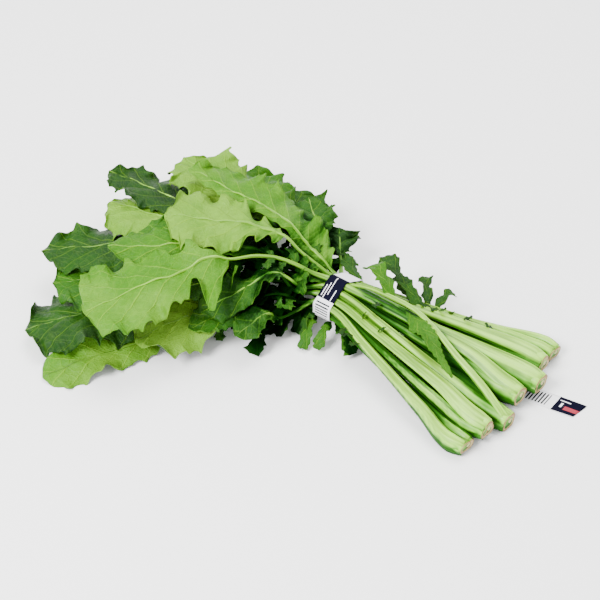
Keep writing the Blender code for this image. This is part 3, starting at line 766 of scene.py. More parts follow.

# %% [markdown]
# Every finish starts with the same shader and may end with a bump. Where the
# surface lies deep in the bunch, shade is painted in: its colour and gloss
# fade, and red and blue fade faster than green.

# %% Shaders, shade and bumps
# painted shade: how much colour the deepest places lose, and how much faster red and blue fade
DEEPEST = 0.93
RED_FADE = 1.6
BLUE_FADE = 1.5


def deep_shade(tree, shader, colour, gloss):
    """Sets the shader's colour and gloss, both less where the surface lies deep in the bunch: painted
    shade.
    """
    shade = value_of(tree, "shade")
    rest = minus(tree, 1.0, times(tree, shade, DEEPEST))
    red, blue = sum_of(tree, "POWER", rest, RED_FADE), sum_of(tree, "POWER", rest, BLUE_FADE)
    green = add_node(tree, "CombineColor", {"Red": red, "Green": rest, "Blue": blue}).outputs["Color"]
    tree.links.new(blend_of(tree, 1.0, colour, green, "MULTIPLY"), shader.inputs["Base Color"])
    tree.links.new(times(tree, rest, gloss), shader.inputs["Specular IOR Level"])


def finish_tree(name, roughness, **constants):
    """A new material with its tree and shader, and constants set on the shader."""
    material = bpy.data.materials.new(name)
    material.use_nodes = True
    tree = material.node_tree
    shader = tree.nodes["Principled BSDF"]
    shader.inputs["Roughness"].default_value = roughness
    for key, value in constants.items():
        shader.inputs[key.replace("_", " ")].default_value = value
    return material, tree, shader


def raise_surface(tree, shader, height, distance, strength):
    """Bumps a shader's surface by a height."""
    inputs = {"Height": height, "Distance": distance, "Strength": strength}
    bump = add_node(tree, "Bump", inputs)
    tree.links.new(bump.outputs["Normal"], shader.inputs["Normal"])


print("the deepest places keep", round(1 - DEEPEST, 2), "of their green")

# %% [markdown]
# A leaf is dark and satin above, and paler, yellower and duller below. The
# veins are a family of lines that leave the midrib and lean to the tip, with a
# fine net between them. They are drawn on the blade's own flat map, which is
# the place across and along the unrolled leaf in tenths of a metre, so they
# follow every wave. The tone of each leaf says which face lies up.

# %% Leaf finish
VEIN_PITCH = 0.017
VEIN_LEAN = 0.80
DARK_LEAF = (0.004, 0.026, 0.0015)
MID_LEAF = (0.016, 0.085, 0.001)
PALE_LEAF = (0.044, 0.160, 0.0015)
PALEST_LEAF = (0.125, 0.270, 0.018)
VEIN_COLOUR = (0.18, 0.36, 0.020, 1)
LEAF_STOPS = ((0.0, DARK_LEAF), (0.4, MID_LEAF), (0.75, PALE_LEAF), (1.0, PALEST_LEAF))
LEAF_ROUGHNESS = 0.50
LEAF_GLOSS = 0.14
# scale and detail of the wide and the fine mottling
WIDE_NOISE = (22.0, 3.0)
FINE_NOISE = (240.0, 2.0)
TONE_SWING = 0.55
# how clear the veins are on a dark face, and how much clearer on a pale one
VEIN_CLARITY = (0.20, 0.45)
MOTTLE = (0.82, 0.36)
LEAF_RELIEF = (0.0010, 0.60)
VEIN_POWER = 0.85
VEIN_WANDER = 0.10
# a vein's width at the midrib, how much it thins outwards, and its least width
VEIN_WIDTHS = (0.075, 0.11, 0.02)
BRANCH_LEAN = 0.9
BRANCH_WANDER = 0.22
BRANCH_WIDTH = 0.06
BRANCH_STRENGTH = 0.45
SIDE_SHIFT = 0.45
# scale and width of line of the two nets
NETS = ((17, 0.10), (46, 0.16))
BRANCH_PITCH = 0.085


def vein_masks(tree, noise):
    """The masks of the side veins, their branches and the net between them."""
    flat = flat_map(tree)
    split = add_node(tree, "SeparateXYZ", {"Vector": flat})
    across, along = split.outputs["X"], split.outputs["Y"]
    out = sum_of(tree, "ABSOLUTE", across)
    side = sum_of(tree, "GREATER_THAN", across, 0.0)
    pitch = VEIN_PITCH * MAP_SCALE
    bend = times(tree, sum_of(tree, "POWER", out, VEIN_POWER), VEIN_LEAN)
    place = minus(tree, along, bend)
    place = plus(tree, place, times(tree, noise, VEIN_WANDER))
    turn = plus(tree, sum_of(tree, "DIVIDE", place, pitch), times(tree, side, SIDE_SHIFT))
    near_line = sum_of(tree, "ABSOLUTE", minus(tree, sum_of(tree, "FRACT", turn), 0.5))
    widest, thinning, thinnest = VEIN_WIDTHS
    thin = sum_of(tree, "MAXIMUM", minus(tree, widest, times(tree, out, thinning)), thinnest)
    main = line_mask(tree, near_line, thin)
    counter = plus(tree, along, times(tree, out, BRANCH_LEAN))
    counter = plus(tree, counter, times(tree, noise, BRANCH_WANDER))
    counter = sum_of(tree, "FRACT", sum_of(tree, "DIVIDE", counter, BRANCH_PITCH))
    counter = sum_of(tree, "ABSOLUTE", minus(tree, counter, 0.5))
    branch = times(tree, line_mask(tree, counter, BRANCH_WIDTH), BRANCH_STRENGTH)
    nets = []
    for scale, width in NETS:
        cells = add_node(tree, "TexVoronoi", {"Vector": flat, "Scale": scale}, feature="DISTANCE_TO_EDGE")
        nets.append(line_mask(tree, cells.outputs["Distance"], width))
    return main, branch, nets


def leaf_finish(name, flipped):
    """The finish of the face of a leaf that lies up, or flipped, of the other."""
    material, tree, shader = finish_tree(name, LEAF_ROUGHNESS)
    tone = value_of(tree, "tone")
    if flipped:
        tone = minus(tree, 1.0, tone)
    objects = object_place(tree)
    wide = noise_of(tree, objects, *WIDE_NOISE)
    fine = noise_of(tree, objects, *FINE_NOISE)
    main, branch, (net, fine_net) = vein_masks(tree, wide)
    colour = ramp_of(tree, plus(tree, tone, swing(tree, wide, TONE_SWING)), *LEAF_STOPS)
    veins = sum_of(tree, "MAXIMUM", main, times(tree, branch, 0.8))
    veins = sum_of(tree, "MAXIMUM", veins, times(tree, net, 0.22))
    clear = plus(tree, VEIN_CLARITY[0], times(tree, tone, VEIN_CLARITY[1]))
    veins = times(tree, veins, clear)
    colour = blend_of(tree, veins, colour, VEIN_COLOUR)
    mottle = plus(tree, MOTTLE[0], times(tree, fine, MOTTLE[1]))
    grey = add_node(tree, "CombineColor", {"Red": mottle, "Green": mottle, "Blue": mottle}).outputs["Color"]
    colour = blend_of(tree, 1.0, colour, grey, "MULTIPLY")
    deep_shade(tree, shader, colour, LEAF_GLOSS)
    height = plus(tree, main, times(tree, net, 0.55))
    height = plus(tree, height, times(tree, fine_net, 0.30))
    raise_surface(tree, shader, height, *LEAF_RELIEF)
    return material


leaf_up = leaf_finish("leaf_up", False)
leaf_down = leaf_finish("leaf_down", True)
print("leaf finishes:", leaf_up.name, leaf_down.name)

# %% [markdown]
# A stalk is pale and moist. Its grooves run along it, so the streaks are read
# from a noise that is squeezed along the stalk on the stalk's own map. It is
# nearly white at the crown and greener towards the blade. Its tone also has
# painted shade in the grooves and painted light on the ridges.

# %% Stalk finish
STALK_WHITE = (0.33, 0.62, 0.068)
STALK_PALE = (0.125, 0.28, 0.012)
STALK_GREEN = (0.024, 0.080, 0.002)
STALK_STOPS = ((0.0, STALK_GREEN), (0.42, STALK_PALE), (0.95, STALK_WHITE))
STREAKS = 1.5
FINE_LINES = 0.5
# how much streaks and fine lines are squeezed across and along the stalk
STREAK_SQUEEZE = (9.0, 1.6, 0.0)
LINE_SQUEEZE = (38.0, 3.0, 0.0)
STALK_ROUGHNESS = 0.36
STALK_GLOSS = 0.26
STALK_RELIEF = (0.0006, 0.6)


def squeezed_noise(tree, place, squeeze, detail):
    """A noise of lines: squeezed across them and long along them."""
    inputs = {0: place, 1: squeeze}
    stretched = add_node(tree, "VectorMath", inputs, operation="MULTIPLY").outputs[0]
    return noise_of(tree, stretched, 1.0, detail)


def stalk_finish():
    material, tree, shader = finish_tree("stalk", STALK_ROUGHNESS)
    flat = flat_map(tree)
    streaks = squeezed_noise(tree, flat, STREAK_SQUEEZE, 4.0)
    lines_fine = squeezed_noise(tree, flat, LINE_SQUEEZE, 2.0)
    tone = value_of(tree, "tone")
    shade = plus(tree, tone, swing(tree, streaks, STREAKS))
    shade = plus(tree, shade, swing(tree, lines_fine, FINE_LINES))
    deep_shade(tree, shader, ramp_of(tree, shade, *STALK_STOPS), STALK_GLOSS)
    height = plus(tree, times(tree, streaks, 0.6), times(tree, lines_fine, 0.4))
    raise_surface(tree, shader, height, *STALK_RELIEF)
    return material


stalk = stalk_finish()
print("stalk finish:", stalk.name)

# %% [markdown]
# Where the root was cut off, the crown has dried to tan and pinkish brown at
# its rim, with a creamy middle. The tone is 1 on the cut and 0 on the skin.

# %% Crown finish
CROWN_STOPS = (
    (0.0, (0.42, 0.55, 0.15)),
    (0.35, (0.46, 0.50, 0.17)),
    (0.58, (0.20, 0.10, 0.03)),
    (0.75, (0.36, 0.24, 0.09)),
    (1.0, (0.50, 0.45, 0.20)),
)
BLOTCH_NOISE = (130.0, 4.0)
BLOTCHES = 0.8


def crown_finish():
    material, tree, shader = finish_tree("crown", 0.55, Specular_IOR_Level=0.4)
    objects = object_place(tree)
    blotches = noise_of(tree, objects, *BLOTCH_NOISE)
    tone = value_of(tree, "tone")
    shade = plus(tree, tone, swing(tree, blotches, BLOTCHES))
    tree.links.new(ramp_of(tree, shade, *CROWN_STOPS), shader.inputs["Base Color"])
    raise_surface(tree, shader, blotches, 0.0010, 0.6)
    return material


crown_skin = crown_finish()
print("crown finish:", crown_skin.name)

# %% [markdown]
# The tie is coated paper with a plain print: a navy panel with thin white
# lines, and grey bars on bare paper. The print lies on the tie's own map,
# which runs along the paper in tenths of a metre and across it from 0 to 1.

# %% Tie finish
NAVY = (0.0015, 0.0015, 0.009, 1)
PAPER = (0.80, 0.80, 0.82, 1)
BAR_GREY = (0.025, 0.025, 0.03, 1)
MUTED_RED = (0.30, 0.035, 0.05, 1)
BAR_PITCH = 0.030
BAR_SHARE = 0.52
BAR_ENDS = (0.12, 0.88)


def between(tree, value, low, high):
    """1 where a value is from low to high, else 0."""
    over = sum_of(tree, "GREATER_THAN", value, low)
    return times(tree, over, sum_of(tree, "LESS_THAN", value, high))


def tie_finish(name, panel, bars, lines_across, red=None):
    """Plain print on paper: a navy panel with lines, then bars, by place along."""
    material, tree, shader = finish_tree(name, 0.80, Specular_IOR_Level=0.06)
    flat = flat_map(tree)
    split = add_node(tree, "SeparateXYZ", {"Vector": flat})
    along, across = split.outputs["X"], split.outputs["Y"]
    colour = PAPER
    turn = sum_of(tree, "FRACT", sum_of(tree, "DIVIDE", along, BAR_PITCH))
    stripe = sum_of(tree, "LESS_THAN", turn, BAR_SHARE)
    in_bars = times(tree, between(tree, along, *bars), between(tree, across, *BAR_ENDS))
    colour = blend_of(tree, times(tree, stripe, in_bars), colour, BAR_GREY)
    in_panel = between(tree, along, *panel)
    colour = blend_of(tree, in_panel, colour, NAVY)
    for place, width, start, stop in lines_across:
        inside = between(tree, across, place, place + width)
        one = times(tree, inside, between(tree, along, start, stop))
        colour = blend_of(tree, one, colour, PAPER)
    if red:
        inside = times(tree, between(tree, along, *red[0]), between(tree, across, *red[1]))
        colour = blend_of(tree, inside, colour, MUTED_RED)
    objects = object_place(tree)
    creases = noise_of(tree, objects, 180.0, 3.0)
    tree.links.new(colour, shader.inputs["Base Color"])
    raise_surface(tree, shader, creases, 0.0006, 0.4)
    return material


# %% [markdown]
# Sheets and tubes are both made from a flat grid of faces. Its vertices are
# then laid on the surface, row by row and column by column. A tube's last
# column lies on its first, and the two are merged. The flat map and the tone
# travel with the vertices.

# %% Sheets and tubes from a grid
def smooth_through(places, values, wanted):
    """A smooth curve through values at their places, read at the wanted places."""
    places, values = np.asarray(places, float), np.asarray(values, float)
    slopes = np.gradient(values, places, axis=0)
    k = np.clip(np.searchsorted(places, wanted, side="right") - 1, 0, len(places) - 2)
    step = places[k + 1] - places[k]
    t = (np.asarray(wanted) - places[k]) / step
    if values.ndim == 2:
        t, step = t[:, None], step[:, None]
    first = (2 * t**3 - 3 * t**2 + 1) * values[k] + (t**3 - 2 * t**2 + t) * step * slopes[k]
    second = (3 * t**2 - 2 * t**3) * values[k + 1] + (t**3 - t**2) * step * slopes[k + 1]
    return first + second


def grid_object(name, points, flat, tone, materials, closed=False):
    """An object over rows by columns of points. A closed one has its last column on its first."""
    rows, columns = points.shape[:2]
    shape = bmesh.new()
    bmesh.ops.create_grid(shape, x_segments=rows - 1, y_segments=columns - 1, size=1)
    mesh = bpy.data.meshes.new(name)
    shape.to_mesh(mesh)
    shape.free()
    places = np.empty(len(mesh.vertices) * 3)
    mesh.vertices.foreach_get("co", places)
    places = places.reshape(-1, 3)
    i = np.rint((places[:, 0] + 1) / 2 * (rows - 1)).astype(int)
    j = np.rint((places[:, 1] + 1) / 2 * (columns - 1)).astype(int)
    mesh.vertices.foreach_set("co", points[i, j].ravel())
    corners = np.empty(len(mesh.loops), int)
    mesh.loops.foreach_get("vertex_index", corners)
    uv = mesh.uv_layers.new(name="flat")
    uv.data.foreach_set("uv", flat[i, j][corners].ravel())
    mesh.attributes.new("tone", "FLOAT", "POINT").data.foreach_set("value", tone[i, j].ravel())
    if closed:
        close_tube(mesh)
    for material in materials:
        mesh.materials.append(material)
    mesh.shade_smooth()
    made = bpy.data.objects.new(name, mesh)
    bpy.context.scene.collection.objects.link(made)
    return made


def close_tube(mesh):
    """Merges a tube's seam, fills its two ends and turns its faces outwards."""
    shape = bmesh.new()
    shape.from_mesh(mesh)
    bmesh.ops.remove_doubles(shape, verts=shape.verts, dist=1e-6)
    bmesh.ops.holes_fill(shape, edges=shape.edges, sides=0)
    bmesh.ops.recalc_face_normals(shape, faces=shape.faces)
    shape.to_mesh(mesh)
    shape.free()


def joined(name, parts):
    """One object of several, moved from the bench to the frame."""
    with bpy.context.temp_override(
        active_object=parts[0], selected_objects=parts, selected_editable_objects=parts
    ):
        bpy.ops.object.join()
    made = parts[0]
    made.name = name
    made.data.name = name
    made.data.transform(Matrix.Translation(bench))
    return made


print("joined pieces move by", [round(value, 3) for value in bench], "m into the frame")

# %% [markdown]
# The margin of a blade is toothed at three sizes. The teeth bite into the
# plain outline at right angles to it, so they are measured along the margin
# itself. The widest are round lobes. The finer ones lean to the tip: each
# grows out slowly, then is cut in sharply, and their pace wanders a little.

# %% Toothed margins
ANY_TURN = (0, 6.3)
# pitch and depth of the lobes and the teeth
LOBES = (0.031, 0.0032)
TEETH = ((0.0088, 0.0009), (0.0041, 0.0008))
TOOTH_POINT = 0.58
# how much the pace of lobes and teeth wanders, and over how many of them
LOBE_WANDER = (0.35, 2.3)
TOOTH_WANDER = (0.55, 3.1)
# how much the size of the teeth swings, and over how many of them
TOOTH_SWING = (0.25, 2.2)
LOBE_LEAN = 0.22
LEAN_END = (0.30, 0.50)
FULL_TOOTH = 0.018
LEAST_TOOTH = 0.05
LEAST_WIDTH = 0.0006
# what a blunt tip changes: where the blade is widest, its roundness, its sweep
BLUNT_SHIFT = 0.25
BLUNT_POWER = 2
BLUNT_SWEEP = 0.6
FOOT_EASE = 0.1


def slow_wave(lengths, pitch, swing_of, rng):
    """A wave along a margin, of a size and over a number of pitches."""
    size, pitches = swing_of
    return size * np.sin(lengths / (pitches * pitch) * FULL_TURN + rng.uniform(*ANY_TURN))


def tooth(place):
    """How far in a tooth stands at a place from 0 to 1: out at its point, in at its ends."""
    return np.interp(place, (0, TOOTH_POINT, 1), (1, 0, 1))


def tooth_depths(lengths, rng):
    """How far a margin stands in at these lengths along it."""
    pitch, most = LOBES
    wander = slow_wave(lengths, pitch, LOBE_WANDER, rng)
    depth = most * np.sin(math.pi * (lengths / pitch + wander + rng.uniform(0, 1))) ** 2
    for pitch, most in TEETH:
        wander = slow_wave(lengths, pitch, TOOTH_WANDER, rng)
        place = np.mod(lengths / pitch + wander + rng.uniform(0, 1), 1)
        size = 1 - TOOTH_SWING[0] + slow_wave(lengths, pitch, TOOTH_SWING, rng)
        depth += most * size * tooth(place)
    return depth


def full_outline(share, scallops, phase, blunt):
    """The plain outline with rounder lobes, and a tip as blunt as the leaf's."""
    widest, bluntness = WIDEST + BLUNT_SHIFT * blunt, BLUNTNESS + BLUNT_POWER * blunt
    rest, rise, fall = body_outline(share, widest, bluntness)
    lobes = 1 - TOOTH_DEPTH * np.sin(math.pi * rest * scallops / 2 + phase) ** 2
    return rise * fall * lobes


def softened(widths):
    """Widths along a margin, each the mean of five."""
    return np.convolve(np.pad(widths, 2, mode="edge"), np.full(5, 0.2), mode="valid")


def fine_width(shares, half_width, scallops, margin, blunt, winged):
    """Half the width at each share, with the foot's lobes run into the body."""
    size, phase, foot_widths = margin
    foot_shares = [place for place, _ in FOOT_OUTLINE]
    if winged:
        foot_shares, foot_widths = zip(*WING_OUTLINE)
    start = full_outline(np.array([FOOT_SHARE]), scallops, phase, blunt)[0]
    places = [*foot_shares, FOOT_SHARE]
    foot = np.interp(shares, places, [*(size * width for width in foot_widths), start])
    body = full_outline(shares, scallops, phase, blunt)
    width = np.where(shares < FOOT_SHARE, foot, body)
    return half_width * np.where(shares < FOOT_SHARE + FOOT_EASE, softened(width), width)


def eased_ends(values):
    """Values along a margin, each averaged a little with its neighbours."""
    padded = np.pad(values, 1, mode="edge")
    return 0.25 * padded[:-2] + 0.5 * values + 0.25 * padded[2:]


def margin_line(distances, shares, width, blunt, rng):
    """The toothed margin: how far along and across each row of the blade ends."""
    along = distances - SWEEP * (1 - BLUNT_SWEEP * blunt) * width * smoothstep(shares, SWEEP_START, 1.0)
    along = along + LOBE_LEAN * width * (1 - smoothstep(shares, *LEAN_END))
    run, rise = np.gradient(along), np.gradient(width)
    size = np.hypot(run, rise) + 1e-9
    lengths = np.concatenate([[0], np.cumsum(np.hypot(np.diff(along), np.diff(width)))])
    depth = tooth_depths(lengths, rng) * np.clip(width / FULL_TOOTH, LEAST_TOOTH, 1)
    along = eased_ends(along + depth * rise / size)
    width = eased_ends(width - depth * run / size)
    return np.maximum.accumulate(along), np.maximum(width, LEAST_WIDTH), lengths


print("margins have lobes", LOBES[0] * 1000, "mm apart and", len(TEETH), "sizes of teeth")

# %% [markdown]
# A fine blade follows its plain form: the same midline, the same heights
# across each row. Then come the ruffles, which grow towards the margin, and
# the pucker of the blade between its side veins. One leaf has no bare stalk:
# its blade runs down nearly to the tie, and most of it lies on the far side
# of its midrib.

# %% One fine blade
FINE_ROW = 0.0012
FINE_COLUMN = 0.0030
# the fewest rows in the foot and in the body, and columns in each side
LEAST_ROWS = (24, 36)
LEAST_COLUMNS = 9
# the body's rows are closer together at the tip, so there are more of them
MORE_ROWS = 1.35
# a leaf of a tone above this lies with its underside up
PALE_FROM = 0.5
# height, least and most wave length, and how much a ruffle keeps to the margin
RUFFLES = ((0.0060, 0.070, 0.100, 3), (0.0044, 0.026, 0.040, 2.2), (0.0012, 0.010, 0.013, 4))
RUFFLE_START = 0.16
RUFFLED_WIDTH = 0.02
PUCKER = 0.0018
SWELL = 0.0012
SWELL_PACES = ((110, 150), (120, 170))
SWELL_PHASES = (4, 2)
EVEN_ROUNDS = 12
WINGED_LEAF = 19
WING_LENGTH = 0.032
WING_OUTLINE = ((0.0, 0.10), (0.04, 0.42), (0.12, 0.58), (0.20, 0.70), (0.30, 0.74))
WING_SIDES = {1: 0.42, -1: 1.25}


def cross_heights(one, distances, out):
    """The plain form's height over its midline, at these distances and widths."""
    stations, grid, rows = one["stations"], one["grid"], one["rows"]
    near = level_near(grid[:, MIDRIB])
    heights = np.zeros_like(out)
    k = np.clip(np.searchsorted(rows, distances, side="right") - 1, stations, len(rows) - 2)
    share = (distances - rows[k]) / (rows[k + 1] - rows[k])
    beside = ((grid - grid[:, MIDRIB : MIDRIB + 1]) * near[:, None]).sum(2)
    rise = grid[..., 2] - grid[:, MIDRIB : MIDRIB + 1, 2]
    for line in range(len(distances)):
        low = np.interp(out[line], beside[k[line]], rise[k[line]])
        high = np.interp(out[line], beside[k[line] + 1], rise[k[line] + 1])
        heights[line] = low * (1 - share[line]) + high * share[line]
    return heights


def fine_blade(one, tone, blunt, winged, rng):
    """Rows by columns of points of a finished blade, its flat map and its rows' shares."""
    leaf, rows, stations = one["leaf"], one["rows"], one["stations"]
    early = WING_LENGTH if winged else 0
    blade, half_width = leaf[5] + early, leaf[6]
    foot_count = max(int(blade * FOOT_SHARE / FINE_ROW), LEAST_ROWS[0])
    body_count = max(int(blade * (1 - FOOT_SHARE) * MORE_ROWS / FINE_ROW), LEAST_ROWS[1])
    shares = np.concatenate([
        np.linspace(0, FOOT_SHARE, foot_count, endpoint=False),
        FOOT_SHARE + (1 - FOOT_SHARE) * np.sin(np.linspace(0, math.pi / 2, body_count)),
    ])
    distances = rows[stations] - early + blade * shares
    centre = smooth_through(rows, one["grid"][:, MIDRIB], distances)
    near = level_near(centre)
    ahead = unit(np.gradient(centre * (1, 1, 0), axis=0))
    half = max(int(half_width / FINE_COLUMN), LEAST_COLUMNS)
    across = np.linspace(-1, 1, 2 * half + 1)
    along = np.repeat(distances[:, None], len(across), axis=1)
    out = np.zeros_like(along)
    ruffle = np.zeros_like(along)
    for side in (1, -1):
        columns = across * side > 0
        share_out = np.abs(across[columns])[None, :]
        width = fine_width(shares, half_width, len(rows) - stations, one["margins"][side], blunt, winged)
        width = width * (WING_SIDES[side] if winged else 1)
        edge_along, edge_out, lengths = margin_line(distances, shares, width, blunt, rng)
        along[:, columns] += (edge_along - distances)[:, None] * share_out
        out[:, columns] = side * edge_out[:, None] * share_out
        size = (np.clip(edge_out / RUFFLED_WIDTH, 0, 1) * smoothstep(shares, 0.0, RUFFLE_START))[:, None]
        for height, least, most, power in RUFFLES:
            turn = FULL_TURN * lengths / rng.uniform(least, most) + rng.uniform(*ANY_TURN)
            ruffle[:, columns] += height * size * np.sin(turn)[:, None] * share_out**power
    points = centre[:, None] + near[:, None] * out[..., None]
    points = points + ahead[:, None] * (along - distances[:, None])[..., None]
    points[..., 2] = centre[:, 2:] + cross_heights(one, distances, out)
    for _ in range(EVEN_ROUNDS):
        points[..., 2] = four_around(points[..., 2]) / 4
    vein = (along - VEIN_LEAN * np.abs(out)) / VEIN_PITCH + SIDE_SHIFT * (out > 0)
    ridge = (0.5 - 0.5 * np.cos(FULL_TURN * vein)) ** 2 * (1 - across**2)[None, :]
    swell = 1
    for values, pace, phase in zip((along, out), SWELL_PACES, SWELL_PHASES):
        swell = swell * np.sin(values * rng.uniform(*pace) + phase)
    points[..., 2] += ruffle + PUCKER * ridge * (1 if tone > PALE_FROM else -1) + SWELL * swell
    return points, np.stack([out * MAP_SCALE, along * MAP_SCALE], axis=-1), shares


print("a fine blade has a row every", FINE_ROW * 1000, "mm")

# %% [markdown]
# The fine blades are made lowest first. A pass lifts each off the fine pile
# below, where a ruffle would dip into another leaf.

# %% The fine blades
FINE_CLEARANCE = 0.0006
MOST_LIFT = 0.007
LIFT_ROUNDS = 3
LIFT_SPREAD = 10
LIFT_EASE = 4
HELD_SHARE = 0.12
# no margin is lifted above this
HIGHEST = 0.0932
SHEET_THICKNESS = 0.0005
BLADE_SEED = 500
# How pale the upward face of each leaf looks, in the order of the leaves:
# 0 is the dark upper side and 1 is the pale underside, turned up
TONES = (
    0.35, 0.86, 0.14, 0.25, 0.35, 0.50, 1.00, 0.28, 0.34, 0.28, 0.12, 0.06,
    1.00, 0.30, 0.08, 1.00, 0.24, 0.50, 0.60, 0.80, 1.00, 0.25, 0.78,
)
# How blunt each leaf's tip is, in the same order
BLUNTS = (
    0.9, 0.9, 0.8, 0.4, 0.6, 0.6, 1.0, 0.4, 0.9, 0.4, 0.3, 0.4,
    0.7, 0.4, 0.4, 0.8, 0.5, 0.5, 0.5, 0.7, 0.9, 0.5, 1.0,
)


def settled(pile, points, shares):
    """Lifts a fine blade off the fine pile, smoothly."""
    lift = np.zeros(points.shape[:2])
    free = smoothstep(shares, 0.0, HELD_SHARE)[:, None]
    for _ in range(LIFT_ROUNDS):
        raised = points.copy()
        raised[..., 2] += lift
        lack = pile.lack(raised.reshape(-1, 3), FINE_CLEARANCE).reshape(lift.shape)
        held = (lift + np.clip(lack, 0, None)) * free
        lift = held
        for _ in range(LIFT_SPREAD):
            lift = np.maximum(held, four_around(lift) / 4) * free
    lift = np.minimum(lift, MOST_LIFT)
    for _ in range(LIFT_EASE):
        lift = four_around(lift) / 4
    raised = points.copy()
    raised[..., 2] = np.clip(raised[..., 2] + lift * free, SHEET_THICKNESS, HIGHEST)
    return raised


fine_pile = Pile(PILE_CELL, PILE_COUNTS)
blades = {plant: [] for plant in CROWNS}
for index, (one, tone, blunt) in enumerate(zip(grown, TONES, BLUNTS)):
    rng = np.random.default_rng(BLADE_SEED + index)
    points, flat, shares = fine_blade(one, tone, blunt, index == WINGED_LEAF, rng)
    points = settled(fine_pile, points, shares)
    fine_pile.add(points.reshape(-1, 3) + (0, 0, SHEET_THICKNESS / 2))
    one["fine"], one["winged"] = points, index == WINGED_LEAF
    plant = one["leaf"][0]
    toned = np.full(points.shape[:2], tone)
    blades[plant].append(grid_object(f"blade_{index}", points, flat, toned, [leaf_up, leaf_down]))
print(sum(len(one["fine"].reshape(-1, 3)) for one in grown), "points in", len(grown), "blades")

# %% [markdown]
# Every stalk is a tube round a smooth line. Its section is round with shallow
# grooves, which fade where it gets thin.

# %% Grooved tubes
TUBE_SIDES = 28
TUBE_STEP = 0.004
GROOVES = ((3, 0.035), (5, 0.055), (9, 0.045))
# the radius from which a stalk has grooves, and from which they are full
GROOVED_FROM = (0.0012, 0.0035)


def grooved(centre, radius, rng):
    """The way out from each point of a line to its ring, and how deep each groove is."""
    near = level_near(centre)
    over = unit(np.cross(unit(np.gradient(centre, axis=0)), near))
    turns = np.linspace(0, FULL_TURN, TUBE_SIDES + 1)
    groove = np.ones((len(centre), len(turns)))
    thick = smoothstep(radius, *GROOVED_FROM)[:, None]
    for count, depth in GROOVES:
        groove += depth * thick * np.cos(count * turns + rng.uniform(*ANY_TURN))[None, :]
    offset = near[:, None] * np.cos(turns)[None, :, None] + over[:, None] * np.sin(turns)[None, :, None]
    return offset * (radius[:, None] * groove)[..., None], groove


def tube_map(places, rng):
    """The flat map of a tube: once round it, and tenths of a metre along it."""
    round_it = np.linspace(0, 1, TUBE_SIDES + 1)[None, :] + rng.uniform(0, 50)
    return map_of(round_it, places[:, None] * MAP_SCALE)


def resampled(line, radii):
    """A smooth line with a point every step, and its radii."""
    places = lengths_along(line)
    wanted = np.linspace(0, places[-1], int(places[-1] / TUBE_STEP))
    return places, wanted, smooth_through(places, line, wanted), np.interp(wanted, places, radii)


print("a tube has a ring every", TUBE_STEP * 1000, "mm")

# %% [markdown]
# A stalk runs from the crown, through the tie, and on as the blade's midrib.
# Near the crown it is broad and hugs its neighbours. The rib thins towards the
# tip. It stands out of a blade that lies with its underside up, and is sunk in
# the other kind.

# %% Stalks and midribs
BASE_BROAD = 0.34
BASE_THIN = 0.16
WAIST = 0.12
END_PULL = 0.80
END_BACK = 0.0012
END_R = 0.0056
PETIOLE_THIN = 0.42
LOW_PETIOLE_THIN = 0.56
LOW_LEAVES = 12
LOW_GREENER = 0.25
# painted shade in a stalk's grooves and painted light on its ridges: how far its tone follows the depth of
# its section
PAINTED_GROOVE_SHADE = 3.2
FINE_RIB = (0.0022, 0.0004)
# how far a rib stands out of a pale blade or is sunk in a dark one, in its radii
RIB_RISES = (0.35, -0.25)
THIN_LENGTH = 0.045
HUG_POWER = 1.3
STALK_TUBE_SEED = 700
# the rib follows every sixth row of the fine blade
RIB_ROWS = slice(2, None, 6)
WING_GAP = 0.006
PAST_FOOT = 0.01
LOWEST_RING = 0.0003
# how white a stalk is at its crown, at the tie, at the blade's foot and at the tip
STALK_WHITENESS = (0.82, 0.44, 0.46, 0.46)
RIB_FADE = 1.7


